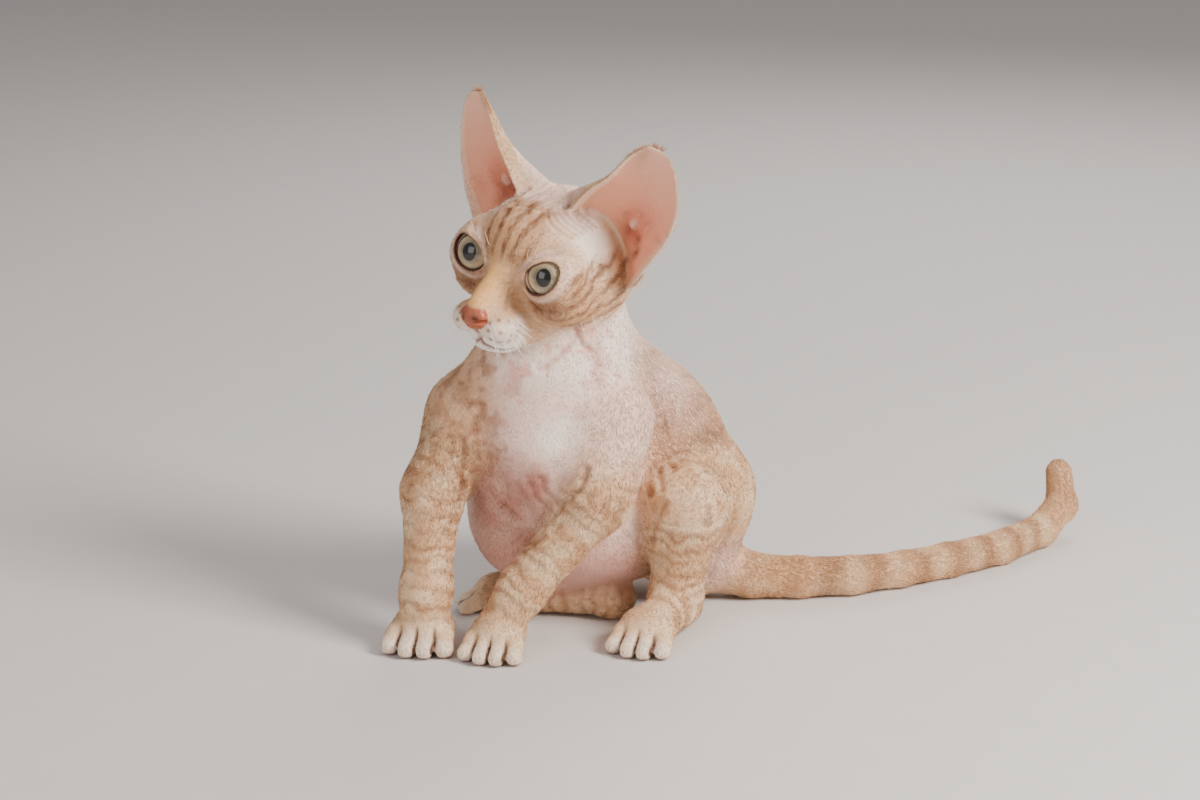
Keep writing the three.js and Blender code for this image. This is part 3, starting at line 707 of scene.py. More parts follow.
def head_colour(p):
    q = HEAD.into(p)
    f, l, u = q.T
    side = np.abs(l)
    soft = noise(q, 5.0, 1)
    fine = noise(q, 1.3, 2)
    base = np.repeat(CREAM[None], len(p), 0)
    base = paint(base, TAN, ramp(f, 6, 18) * 0.6)
    base = paint(base, PINK_WHITE, ramp(u, 17, 25) * 0.8)
    streak = noise(q * (0.35, 1.0, 0.6), 1.2, 9)
    brow = ramp(u, 3, 9) * ramp(side, 16.5, 11) * ramp(f, 3, 12)
    base = paint(base, TAN, brow * (0.85 + 0.5 * streak))
    fan = l / (1 + 0.028 * (24 - f)) + 1.0 * soft
    bars = ramp(np.sin(2 * np.pi * fan / 6.2 + 0.6), -0.25, 0.7)
    base = paint(base, BROWN, brow * bars * ramp(u, 6, 12) * (0.75 + 0.45 * streak))
    bridge = ramp(side, 8, 2.5) * ramp(f, 29, 35) * ramp(u, -13, -7)
    base = paint(base, BRIDGE, bridge * 0.85)
    for at, size, colour, amount in (
        # The two white spots at the temples are pale bare skin, partly painted highlight where the key light falls
        ((3, 27, 11), 12.0, WHITE, 1.0),
        ((-4, 24, 17), 9.0, WHITE, 0.9),
        ((29, 19, -9), 7.2, BROWN, 1.1),
        ((25, 27, -8.5), 7.0, BROWN, 0.9),
        ((33, 12, -7), 4.0, BROWN, 0.6),
        ((20.6, 33, 3.4), 2.4, BROWN, 0.9),
        ((17.5, 34, 1.2), 1.8, BROWN, 0.6),
        ((31, 8, 10), 3.5, BROWN, 0.55),
        ((35, 5.5, 0), 3.0, BROWN, 0.5),
        ((12, 31, -16), 9.0, TAN, 0.55),
    ):
        gap = np.sqrt((f - at[0]) ** 2 + (side - at[1]) ** 2 + (u - at[2]) ** 2)
        base = paint(base, colour, amount * bell(gap + 1.2 * soft, size) * (0.85 + 0.35 * streak))
    cheek = ramp(side, 22, 29) * ramp(u, 9, 4) * ramp(f, 27, 20)
    wave = np.sin(2 * np.pi * (u + 0.45 * f + 2.2 * soft) / 6.5)
    base = paint(base, TAN, cheek * 0.6)
    base = paint(base, BROWN, cheek * ramp(wave, -0.1, 0.9) * 0.9 * (0.8 + 0.4 * streak))
    ear_root = bell(np.sqrt((f + 2.4) ** 2 + (side - 18) ** 2 + (u - 27) ** 2), 6.5)
    base = paint(base, BROWN, ear_root * (0.75 + 0.6 * fine))
    muzzle = ramp(f, 27, 34) * ramp(u, -12, -16)
    base = paint(base, WHITE, muzzle * (0.6 + 0.4 * ramp(u, -18, -25)))
    for row in range(4):
        for column in range(6):
            at = (44.6 - 2.5 * column, 8.2 + 1.9 * column + 0.4 * row, -15.6 - 2.6 * row - 0.35 * column)
            for s in SIDES:
                step = points - HEAD.out(np.array([at]) * (1, s, 1))
                spot = points[dot(step, step).argmin()]
                gap = np.linalg.norm(p - spot, axis=1)
                base = paint(base, BROWN, bell(gap, 0.9) * (1 - 0.10 * column))
    base = paint(base, WHITE, ramp(u, -29, -31) * ramp(f, 18, 26) * 0.8)
    leather = ramp(egg(q, NOSE, NOSE_RADII), 0.9, 0.35) * ramp(f, 43.5, 45.5) * ramp(u, -8.0, -9.5)
    leather = np.maximum(leather, bell(side, 0.8 + 2.4 * ramp(u, -21.5, -16)) * ramp(f, 42, 44) * ramp(u, -14, -16) * ramp(u, -24, -22))
    base = paint(base, NOSE_PINK, leather)
    # Painted shade: the insides of the nostrils darkened
    inside = bell(np.sqrt((f - 50) ** 2 + (side - 3.6) ** 2 + (u + 13.2) ** 2), 1.7)
    base = paint(base, SHADE_BROWN * 0.5, inside * 1.2)
    rims = np.zeros(len(p))
    for s in SIDES:
        e = eye_frame(s, EYE_TURN).into(p)
        y = e[:, 1] * s - OPENING_AT[0]
        z = e[:, 2] - OPENING_AT[1] - OPENING_SLOPE * y
        ring = np.sqrt((y / EYE_OPENING[0]) ** 2 + (z / EYE_OPENING[1]) ** 2) - 1
        near = ramp(e[:, 0], 0, 3) * ramp(np.linalg.norm(e, axis=1), 15.5, 14)
        pale = near * bell(ring - 0.42, 0.2)
        base = paint(base, PINK_WHITE, pale * 0.7)
        rims = np.maximum(rims, near * ramp(ring, 0.11 + 0.05 * ramp(z, 0, 5), 0.04))
        tear = near * bell(np.hypot(y + 9.6, z + 2.5), 2.0)
        base = paint(base, BROWN, tear * 0.6)
    base = paint(base, LID_BROWN, rims)
    return base, leather, rims


def trunk_colour(p):
    x, y, z = p.T
    soft = noise(p, 9.0, 3)
    fine = noise(p, 3.2, 4)
    base = np.repeat(PINK_WHITE[None], len(p), 0)
    # The upper neck whitened: partly its own pale colour, partly painted highlight where the key light falls
    base = paint(base, WHITE, ramp(z, 112, 128) * 0.6)
    base = paint(base, PINK, ramp(fine + soft, 0.1, 0.9) * ramp(y, 40, 20) * 0.8)
    base = paint(base, MAUVE, ramp(soft - 0.5 * fine, 0.2, 1.0) * ramp(y, 34, 16) * 0.45)
    # Painted shade: the lower chest between the forelegs darkened to mauve
    low = ramp(z, 96, 78) * ramp(y, 46, 26) * ramp(x, 60, 46)
    base = paint(base, MAUVE, low * (0.75 + 0.3 * soft))
    base = paint(base, PINK, ramp(z, 52, 34) * ramp(y, 60, 40) * 0.85)
    base = paint(base, WHITE, 0.8 * bell(np.hypot(x - 46, z - 98 - 4 * soft), 11) * ramp(y, 30, 15))
    left = np.maximum(ramp(x, 76, 90), ramp(y, 48, 66))
    base = paint(base, TAN, left * ramp(z, 160, 135) * 0.85)
    base = paint(base, CREAM, left * ramp(soft, -0.1, 0.8) * 0.5)
    bars = np.sin(2 * np.pi * (0.55 * x - 0.35 * y - 0.62 * z + 4.5 * soft) / 12.5)
    base = paint(base, BROWN, left * ramp(bars, 0.25, 0.95) * 0.42 * ramp(z, 150, 120))
    shoulder = ramp(x, 26, 9) * ramp(z, 70, 86)
    base = paint(base, TAN, shoulder * 0.8)
    base = paint(base, BROWN, shoulder * ramp(fine + 0.6 * soft, -0.4, 0.8) * 0.65)
    # Pale pink on the top of the hip hump: partly the skin's own colour, partly painted highlight where the key
    # light falls
    gap = np.linalg.norm(p - np.array([95, 52, 112]), axis=1)
    base = paint(base, PINK_WHITE, bell(gap, 19) * 0.9)
    gap = np.linalg.norm(p - np.array([121, 56, 20]), axis=1)
    return paint(base, PINK_WHITE, bell(gap, 20) * 0.8)


def along_chain(p, joints):
    """(millimetres along the chain, direction of the chain) at each point."""
    best, along, way = np.full(len(p), 1e3), np.zeros(len(p)), np.zeros((len(p), 3))
    done = 0.0
    for a, b in zip(joints, joints[1:]):
        run = np.array(b[:3], float) - a[:3]
        t, gap = along_bone(p, a[:3], b[:3])
        gap = gap - (a[3] + (b[3] - a[3]) * t)
        near = gap < best
        best = np.where(near, gap, best)
        along = np.where(near, done + t * np.linalg.norm(run), along)
        way[near] = unit(run)
        done += np.linalg.norm(run)
    return along, way, done


def leg_colour(p, leg):
    along, _, total = along_chain(p, LEGS[leg]["joints"])
    soft = noise(p, 7.0, 11)
    fine = noise(p, 2.0, 12)
    base = np.repeat(TAN[None], len(p), 0)
    base = paint(base, CREAM, ramp(soft, -0.3, 0.7) * 0.7 + 0.15)
    bars = np.sin(2 * np.pi * (along + 3.0 * soft + 0.8 * fine) / (6.6 if leg.startswith("front") else 6.2))
    patchy = ramp(noise(p, 11.0, 14), -0.5, 0.5)
    base = paint(base, BROWN, ramp(bars + 0.4 * fine, 0.0, 1.0) * 0.5 * ramp(along, 12, 40) * (0.6 + 0.4 * patchy))
    base = paint(base, CREAM, ramp(-bars, 0.2, 1.0) * 0.45 * ramp(along, 12, 40) * patchy)
    if leg == "front_right":
        base = paint(base, BROWN, ramp(along, 46, 25) * (0.45 + 0.35 * fine))
    if leg == "front_left":
        base = paint(base, PINK_WHITE, ramp(along, 34, 10) * 0.75)
    place, width = paw_frame(leg)
    q = place.into(p)
    foot = ramp(q[:, 0], -8, 2) * ramp(q[:, 2], 20, 12)
    base = paint(base, CREAM, foot * 0.8)
    base = paint(base, WHITE, foot * ramp(q[:, 0], 4, 10) * 0.5)
    # Painted shade in the gaps between the toes
    base = paint(base, SHADE_BROWN, TOE_GAPS[leg] * 1.2)
    sole = foot * ramp(q[:, 2], 2.2, 1.0)
    return paint(base, MAUVE * 0.6, sole * 0.8)


TAIL_RINGS = (52, 74, 98, 120, 137, 156, 172)


def tail_colour(p):
    along, _, _ = along_chain(p, TAIL)
    soft = noise(p, 8.0, 13)
    base = paint(np.repeat(TAN[None], len(p), 0), CREAM, ramp(soft, -0.4, 0.8) * 0.5)
    for at in TAIL_RINGS:
        base = paint(base, BROWN, 0.42 * bell(along + 2.5 * soft - at, 5.5))
        base = paint(base, CREAM, 0.5 * bell(along + 2.5 * soft - at - 10.5, 4.0))
    return base


def ear_colour(place, p):
    _, s, t, inside = place
    soft = noise(p, 6.0, 15)
    back = paint(np.repeat(CREAM[None], len(p), 0), TAN, 0.35 + 0.5 * ramp(t, 0.5, 1.0) + 0.2 * soft)
    front = paint(np.repeat(EAR_PINK[None], len(p), 0), PINK_WHITE, ramp(t, 0.5, 0.95) * 0.35)
    front = paint(front, shade(226, 134, 104), bell(s - 0.62, 0.22) * ramp(t, 0.62, 0.4) * 0.7)
    # Painted shade: the ear canal and the hollow folds darkened; painted highlight: a pale spot on the raised fold
    # at (0.57, 0.34)
    front = paint(front, EAR_HOLLOW_SHADE, bell(s - 0.58, 0.17) * bell(t - 0.26, 0.15) * (0.75 + 0.4 * soft))
    for at, size in (((0.45, 0.33), 0.035), ((0.57, 0.27), 0.035), ((0.72, 0.30), 0.04), ((0.80, 0.24), 0.04)):
        front = paint(front, EAR_HOLLOW_SHADE * 0.45, bell(np.hypot(s - at[0], t - at[1]), size) * 0.9)
    front = paint(front, PINK_WHITE, bell(np.hypot(s - 0.57, t - 0.34), 0.03) * 0.5)
    front = paint(front, TAN, ramp(s, 0.16, 0.03) * ramp(t, 0.55, 0.1) * 0.6)
    front = paint(front, BROWN, bell(s - 0.15, 0.14) * bell(t - 0.86, 0.16) * 0.35)
    rim = np.maximum(ramp(s, 0.06, 0.02), ramp(s, 0.95, 0.98))
    rim = np.maximum(rim, ramp(t, 0.955, 0.985))
    front = paint(front, EAR_RIM, rim * 0.9)
    return back + (front - back) * inside[:, None]


# Markings together with painted shade (creases, nostrils, toe gaps, ear hollows, lower chest) and painted
# highlights (temples, upper neck, hip hump)
def colour_with_painted_light(p):
    colour, leather, rims = head_colour(p)
    colour = colour * SHARE["head"][:, None]
    colour += trunk_colour(p) * SHARE["trunk"][:, None] + tail_colour(p) * SHARE["tail"][:, None]
    for leg in LEGS:
        colour += leg_colour(p, leg) * SHARE[leg][:, None]
    colour += ear_colour(EARS[1], p) * SHARE["ear_left"][:, None]
    colour += ear_colour(EARS[-1], p) * SHARE["ear_right"][:, None]
    # Painted shade: the colour is darkened along the creases, where shade falls in the grooves
    colour = paint(colour, colour * np.array([0.62, 0.48, 0.44]), crease * 0.75)
    colour = paint(colour, LIP * 0.55, mouth * 0.95 * SHARE["head"])
    wet = (leather + rims) * SHARE["head"]
    return np.clip(colour, 0.002, 0.95), wet


COLOUR, WET = colour_with_painted_light(points)


# Meshes and materials
def new_mesh(name, points, faces, colour=None, smooth=True):
    mesh = bpy.data.meshes.new(name)
    mesh.vertices.add(len(points))
    mesh.vertices.foreach_set("co", metres(points).astype(np.float32).ravel())
    size = faces.shape[1]
    mesh.loops.add(faces.size)
    mesh.loops.foreach_set("vertex_index", faces.astype(np.int32).ravel())
    mesh.polygons.add(len(faces))
    mesh.polygons.foreach_set("loop_start", np.arange(0, faces.size, size, dtype=np.int32))
    mesh.polygons.foreach_set("use_smooth", np.full(len(faces), smooth))
    mesh.update(calc_edges=True)
    if colour is not None:
        layer = mesh.attributes.new("coat", "FLOAT_COLOR", "POINT")
        full = np.concatenate([colour, np.ones((len(points), 1))], 1)
        layer.data.foreach_set("color", full.astype(np.float32).ravel())
    made = bpy.data.objects.new(name, mesh)
    bpy.context.scene.collection.objects.link(made)
    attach(made, "root")
    return made


def float_layer(made, name, values):
    layer = made.data.attributes.new(name, "FLOAT", "POINT")
    layer.data.foreach_set("value", values.astype(np.float32))


class Material:
    """A Principled shader with the nodes that feed it."""

    def __init__(self, name, roughness, **values):
        self.made = bpy.data.materials.new(name)
        self.made.use_nodes = True
        self.nodes = self.made.node_tree.nodes
        self.links = self.made.node_tree.links
        self.shader = self.nodes["Principled BSDF"]
        self.shader.inputs["Roughness"].default_value = roughness
        for key, value in values.items():
            self.shader.inputs[key.replace("_", " ")].default_value = value

    def node(self, kind, **values):
        made = self.nodes.new(kind)
        for key, value in values.items():
            setattr(made, key, value)
        return made

    def link(self, out, into):
        self.links.new(out, into)

    def attribute(self, name):
        return self.node("ShaderNodeAttribute", attribute_name=name)

    def noise(self, scale, detail=3.0):
        place = self.node("ShaderNodeTexCoord")
        made = self.node("ShaderNodeTexNoise")
        made.inputs["Scale"].default_value = scale
        made.inputs["Detail"].default_value = detail
        self.link(place.outputs["Object"], made.inputs["Vector"])
        return made.outputs["Fac"]

    def spread(self, value, low, high):
        made = self.node("ShaderNodeMapRange")
        made.inputs["To Min"].default_value = low
        made.inputs["To Max"].default_value = high
        self.link(value, made.inputs["Value"])
        return made.outputs["Result"]

    def mottled(self, colour, scale, low, high):
        """The colour times a noise from low to high, fed to the shader."""
        mixed = self.node("ShaderNodeMix", data_type="RGBA", blend_type="MULTIPLY")
        mixed.inputs["Factor"].default_value = 1.0
        self.link(colour, mixed.inputs["A"])
        self.link(self.spread(self.noise(scale), low, high), mixed.inputs["B"])
        self.link(mixed.outputs["Result"], self.shader.inputs["Base Color"])

    def bump(self, height, distance, strength=1.0):
        made = self.node("ShaderNodeBump")
        made.inputs["Distance"].default_value = distance
        made.inputs["Strength"].default_value = strength
        self.link(height, made.inputs["Height"])
        self.link(made.outputs["Normal"], self.shader.inputs["Normal"])


def skin_material():
    m = Material("skin", 0.6, Subsurface_Weight=0.22, Subsurface_Scale=0.0022)
    m.shader.inputs["Subsurface Radius"].default_value = (1.0, 0.36, 0.24)
    m.mottled(m.attribute("coat").outputs["Color"], 900.0, 0.90, 1.08)
    wet = m.attribute("wet").outputs["Fac"]
    m.link(m.spread(wet, 0.62, 0.3), m.shader.inputs["Roughness"])
    fine = m.noise(1500.0, 2.0)
    wide = m.noise(420.0, 2.0)
    both = m.node("ShaderNodeMath", operation="ADD")
    m.link(fine, both.inputs[0])
    m.link(wide, both.inputs[1])
    m.bump(both.outputs[0], 0.0003, 0.8)
    return m.made


def coat_material():
    m = Material("coat", 0.62, Subsurface_Weight=0.0)
    m.mottled(m.attribute("coat").outputs["Color"], 1400.0, 0.94, 1.06)
    return m.made


skin = new_mesh("skin", points, quads, COLOUR)
float_layer(skin, "wet", WET)
skin.data.materials.append(skin_material())
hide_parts(*[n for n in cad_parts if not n.startswith("eye_")])


# The lie, length, density and width of the coat, at each vertex of the skin
def coat_fields():
    q = HEAD.into(points)
    lie = {"head": HEAD.turn(unit(q - (58, 0, -14)) + (0, 0, 0.15)), "tail": along_chain(points, TAIL)[1]}
    lie["trunk"] = np.array([0.30, 0.25, -0.9]) + 0.25 * np.stack([noise(points, 14, n) for n in (21, 22, 23)], -1)
    for leg, shape in LEGS.items():
        place, _ = paw_frame(leg)
        lie[leg] = along_chain(points, shape["joints"])[1]
        foot = ramp(place.into(points)[:, 0], -10, 0)[:, None]
        lie[leg] = lie[leg] * (1 - foot) + place.turn((1, 0, -0.5)) * foot
    up = HEAD.turn((-0.15, 0.35, 0.9))
    lie["ear_left"] = np.repeat(up[None], len(points), 0)
    lie["ear_right"] = np.repeat(HEAD.turn((-0.15, -0.35, 0.9))[None], len(points), 0)
    way = sum(unit(lie[name]) * SHARE[name][:, None] for name in NAMES)
    long = {"head": 1.5, "trunk": 2.4, "tail": 2.6, "ear_left": 1.1, "ear_right": 1.1}
    long.update({leg: 2.1 for leg in LEGS})
    length = sum(long[name] * SHARE[name] for name in NAMES)
    bare = {name: np.ones(len(points)) for name in NAMES}
    side = np.abs(q[:, 1])
    cheek = ramp(side, 24, 31) * ramp(q[:, 2], 10, 0)
    length += cheek * SHARE["head"] * 1.3
    temple = bell(np.linalg.norm(np.stack([q[:, 0] - 2, side - 26, q[:, 2] - 13], -1), axis=1), 11)
    bare["head"] = 1 - 0.75 * temple - 0.55 * ramp(q[:, 2], 19, 25)
    x, y, z = points.T
    pale = ramp(x, 84, 70) * ramp(y, 66, 48)
    bare["trunk"] = 1 - 0.72 * pale
    length *= 1 - 0.35 * pale * SHARE["trunk"]
    for name, ear in (("ear_left", EARS[1]), ("ear_right", EARS[-1])):
        rim = np.maximum(ramp(ear[1], 0.06, 0.02), ramp(ear[1], 0.955, 0.985))
        rim = np.maximum(rim, ramp(ear[2], 0.95, 0.98))
        bare[name] = 1 - ear[3] * (1 - 0.45 * rim)
    density = sum(bare[name] * SHARE[name] for name in NAMES)
    for leg in LEGS:
        toe = ramp(paw_frame(leg)[0].into(points)[:, 0], -6, 4) * SHARE[leg]
        length *= 1 - 0.45 * toe
    muzzle = ramp(q[:, 0], 26, 38) * SHARE["head"]
    length *= 1 - 0.42 * muzzle
    density = density * (1 - np.clip(WET, 0, 1)) * (1 - mouth) * (1 - 0.6 * crease)
    density = density * ramp(z, 0.8, 2.5) * (1 - ramp(sum(TOE_GAPS.values()), 0.15, 0.5))
    width = 0.40 - 0.16 * SHARE["head"] - 0.12 * (SHARE["ear_left"] + SHARE["ear_right"])
    return way, np.clip(length, 0.6, 4.0), np.clip(density, 0, 1), width


LIE, LENGTH, DENSITY, WIDTH = coat_fields()


# The coat's own unwrap: round and along each part of the body, from 0 to 1
def around(p, joints):
    along, way, total = along_chain(p, joints)
    middle = np.array([j[:3] for j in joints], float).mean(0)
    gap = p - middle
    level = unit(np.cross(way, (0.13, 0.21, 0.97)))
    other = np.cross(way, level)
    return np.arctan2(dot(gap, level), dot(gap, other)) / (2 * np.pi) + 0.5, along / total


def unwrap(p, n, name):
    """(across, up) of points on one region, both from 0 to 1. n are the nearest skin vertices."""
    if name == "head":
        q = HEAD.into(p)
        size = np.linalg.norm(q, axis=1)
        return np.arctan2(q[:, 1], q[:, 0]) / (2 * np.pi) + 0.5, np.arcsin(q[:, 2] / size) / np.pi + 0.5
    if name == "trunk":
        return np.arctan2(p[:, 0] - 66, p[:, 1] - 56) / (2 * np.pi) + 0.5, np.clip(p[:, 2] / 165, 0, 1)
    if name.startswith("ear"):
        ear = EARS[1 if name == "ear_left" else -1]
        return (ear[1][n] + (ear[3][n] < 0.5)) / 2, ear[2][n]
    return around(p, TAIL if name == "tail" else LEGS[name]["joints"])


TUFT_STEPS = (0.0, 0.5)
TUFT_WIDTHS = (1.0, 0.75)


def tufts(name, regions, count, sector=None):
    """One piece of the coat: thin three-sided tufts, with the charts of its regions side by side."""
    share = sum(SHARE[region] for region in regions)
    weight = DENSITY * share
    a, b, c, d = (points[quads[:, n]] for n in range(4))
    area = 0.5 * np.linalg.norm(np.cross(c - a, d - b), axis=1)
    mean = points[quads].mean(1)
    face = area * weight[quads].mean(1) * (share[quads].mean(1) > 0.5)
    if sector is not None:
        turn = np.arctan2(mean[:, 0] - 66, mean[:, 1] - 56) / (2 * np.pi) + 0.5
        face = face * ((turn >= sector[0]) & (turn < sector[1]))
    picked = RANDOM.choice(len(quads), count, p=face / face.sum())
    s, t = RANDOM.random((2, count))
    corner = np.stack([(1 - s) * (1 - t), s * (1 - t), s * t, (1 - s) * t], -1)

    def at(values):
        got = values[quads[picked]]
        return (got * corner.reshape(corner.shape + (1,) * (got.ndim - 2))).sum(1)

    root, normal = at(points), unit(at(normals))
    lie = at(LIE)
    lie = unit(lie - dot(lie, normal)[:, None] * normal)
    side = np.cross(normal, lie)
    swing = RANDOM.normal(0, 0.30, count) + 0.45 * noise(root, 6.0, 31)
    lie, side = (
        lie * np.cos(swing)[:, None] + side * np.sin(swing)[:, None],
        side * np.cos(swing)[:, None] - lie * np.sin(swing)[:, None],
    )
    length = at(LENGTH) * RANDOM.uniform(0.65, 1.25, count)
    lift = np.radians(RANDOM.uniform(9, 26, count))
    curl = RANDOM.normal(0, 0.16, count)
    half = at(WIDTH) * RANDOM.uniform(0.35, 0.6, count)

    def spine(step):
        out = length * (np.sin(lift) * step - 0.22 * step**2) + 0.03
        sway = length * curl * np.sin(np.pi * step)
        run = length * step * np.cos(lift)
        return root + lie * run[:, None] + normal * out[:, None] + side * sway[:, None]

    rings = []
    for step, wide in zip(TUFT_STEPS, TUFT_WIDTHS):
        middle = spine(step) - (normal * 0.12 if step == 0 else 0)
        reach = (half * wide)[:, None]
        rings.append(np.stack([middle - side * reach, middle + side * reach, middle + normal * reach * 0.6], 1))
    tip = spine(1.0)[:, None]
    verts = np.concatenate(rings + [tip], 1)
    faces = []
    for ring in range(len(TUFT_STEPS) - 1):
        for k in range(3):
            m = (k + 1) % 3
            low, high = 3 * ring, 3 * ring + 3
            faces += [(low + k, low + m, high + m), (low + k, high + m, high + k)]
    last = 3 * len(TUFT_STEPS)
    faces += [(last - 3 + k, last - 3 + (k + 1) % 3, last) for k in range(3)]
    faces.append((2, 1, 0))
    faces = np.array(faces)
    each = verts.shape[1]
    every = (faces[None] + np.arange(count)[:, None, None] * each).reshape(-1, 3)
    colour = at(COLOUR) * RANDOM.normal(1.03, 0.07, (count, 1))
    made = new_mesh(name, verts.reshape(-1, 3), every, np.repeat(np.clip(colour, 0, 1), each, 0))
    nearest = quads[picked, 0]
    chart = np.stack([SHARE[region][nearest] for region in regions], -1).argmax(1)
    place = np.zeros((count, 2))
    for k, region in enumerate(regions):
        mine = np.flatnonzero(chart == k)
        u, v = unwrap(root[mine], nearest[mine], region)
        place[mine] = np.stack([(k + 0.02 + 0.96 * u) / len(regions), 0.01 + 0.98 * v], -1)
    patch = 0.0015
    spread = np.array([(-1, -1), (1, -1), (0, -0.6), (-1, 0.2), (1, 0.2), (0, 0.5), (0, 1)])
    local = place[:, None] + patch * spread[None]
    layer = made.data.uv_layers.new(name="OFBake")
    layer.data.foreach_set("uv", local.reshape(-1, 2)[every.ravel()].astype(np.float32).ravel())
    made.data.materials.append(COAT_LOOK)
    return made


COAT_LOOK = coat_material()
COAT_PIECES = (
    ("coat_head", ("head",), 18000, None),
    ("coat_trunk_1", ("trunk",), 14500, (0.0, 0.34)),
    ("coat_trunk_2", ("trunk",), 14500, (0.34, 0.67)),
    ("coat_trunk_3", ("trunk",), 14500, (0.67, 1.01)),
    ("coat_front_legs", ("front_left", "front_right"), 17500, None),
    ("coat_hind_legs", ("hind_left", "hind_right"), 17500, None),
    ("coat_tail", ("tail",), 15500, None),
    ("coat_ears", ("ear_left", "ear_right"), 13500, None),
)
for name, regions, count, sector in COAT_PIECES:
    tufts(name, regions, count, sector)


# Single hairs: tapered tubes along a curve
def hairs(name, paths, radii, colour, roughness=0.35, sides=5, steps=10):
    """paths are lists of points in the drawing's frame, and radii the thickness at each root."""
    verts, faces, count = [], [], 0
    turn = np.arange(sides) / sides * 2 * np.pi
    for path, radius in zip(paths, radii):
        line = curve(path, np.linspace(0, 1, steps))
        way = unit(np.gradient(line, axis=0))
        level = unit(np.cross(way, (0.31, 0.17, 0.93)))
        other = np.cross(way, level)
        thick = radius * (1 - 0.88 * np.linspace(0, 1, steps) ** 1.3)
        ring = level[:, None] * np.cos(turn)[None, :, None] + other[:, None] * np.sin(turn)[None, :, None]
        verts.append((line[:, None] + ring * thick[:, None, None]).reshape(-1, 3))
        for j in range(steps - 1):
            for k in range(sides):
                m = (k + 1) % sides
                low = count + j * sides
                faces.append((low + k, low + m, low + sides + m, low + sides + k))
        count += steps * sides
    verts = np.concatenate(verts)
    made = new_mesh(name, verts, np.array(faces), np.repeat(np.array(colour)[None], len(verts), 0))
    look = Material(name, roughness, Subsurface_Weight=0.0)
    look.mottled(look.attribute("coat").outputs["Color"], 300.0, 0.92, 1.05)
    made.data.materials.append(look.made)
    return made


def curly(root, way, length, bend, wave):
    """A hair from the root that bends towards bend and waves a little."""
    way, bend = unit(way), np.asarray(bend, float)
    across = unit(np.cross(way, bend + (0.01, 0.02, 0.03)))
    path = []
    for t in np.linspace(0, 1, 7):
        swing = wave * length * np.sin(2.6 * np.pi * t) * t
        path.append(root + way * length * t + bend * length * t * t + across * swing)
    return path


def whiskers():
    paths, radii = [], []
    for s in SIDES:
        for row in range(4):
            for column in range(4):
                spot = (44 - 3 * column, (8.6 + 2.2 * column + 0.4 * row) * s, -16 - 2.7 * row)
                root = on_skin(HEAD.out([spot, spot]), 1)[0]
                way = HEAD.turn((0.25 - 0.25 * column, (0.85 + 0.1 * column) * s, -0.35 - 0.12 * row))
                bend = HEAD.turn((-0.15, -0.35 * s, -0.55 + 0.35 * RANDOM.random()))
                paths.append(curly(root, way, RANDOM.uniform(6, 12.5), bend, RANDOM.uniform(0.03, 0.10)))
                radii.append(0.17)
        for spot in ((33, 9 * s, 13), (31, 13 * s, 14), (28, 17 * s, 15)):
            root = on_skin(HEAD.out([spot, spot]), 1)[0]
            way = HEAD.turn((0.55, 0.25 * s, 0.8))
            paths.append(curly(root, way, RANDOM.uniform(6, 10), HEAD.turn((-0.5, 0.1 * s, 0.1)), 0.06))
            radii.append(0.13)
        for spot in ((12, 32 * s, -22), (6, 33 * s, -18)):
            root = on_skin(HEAD.out([spot, spot]), 1)[0]
            paths.append(curly(root, HEAD.turn((0.3, 0.7 * s, -0.7)), 8, HEAD.turn((-0.4, 0, -0.3)), 0.05))
            radii.append(0.12)
    return paths, radii


hairs("whiskers", *whiskers(), shade(252, 248, 240))


def fuzz_at(side, edge, count, length, spread):
    """Loose hairs at the rim of an ear: edge gives (across, along) from a number 0 to 1."""
    paths = []
    for t in RANDOM.random(count):
        s, a = edge(t)
        spot = ear_sheet(np.array([s]), np.array([a]))[0]
        root = HEAD.out(spot * (1, side, 1) - np.array([0.7, 0, 0]))
        out = spot - ear_sheet(np.array([0.5]), np.array([max(a - 0.25, 0)]))[0]
        way = HEAD.turn((unit(out) + RANDOM.normal(0, spread, 3) - (0.3, 0, 0)) * (1, side, 1))
        bend = HEAD.turn(RANDOM.normal(0, 0.18, 3))
        paths.append(curly(root, way, length * RANDOM.uniform(0.5, 1.2), bend, 0.03))
    return paths


rims, tips = [], []
for side in SIDES:
    rims += fuzz_at(side, lambda t: (0.01, 0.25 + 0.7 * t), 260, 1.9, 0.35)
    rims += fuzz_at(side, lambda t: (0.99, 0.25 + 0.7 * t), 220, 1.6, 0.35)
    rims += fuzz_at(side, lambda t: (0.99, 0.14 + 0.12 * t), 160, 3.6, 0.45)
    tips += fuzz_at(side, lambda t: (0.2 + 0.6 * t, 0.975), 110, 3.4, 0.30)
    tips += fuzz_at(side, lambda t: (0.01, 0.72 + 0.25 * t), 90, 2.4, 0.32)
hairs("ear_fuzz", rims, [0.07] * len(rims), CREAM, sides=3, steps=5)
hairs("ear_tip_hairs", tips, [0.055] * len(tips), shade(206, 146, 100), sides=3, steps=5)


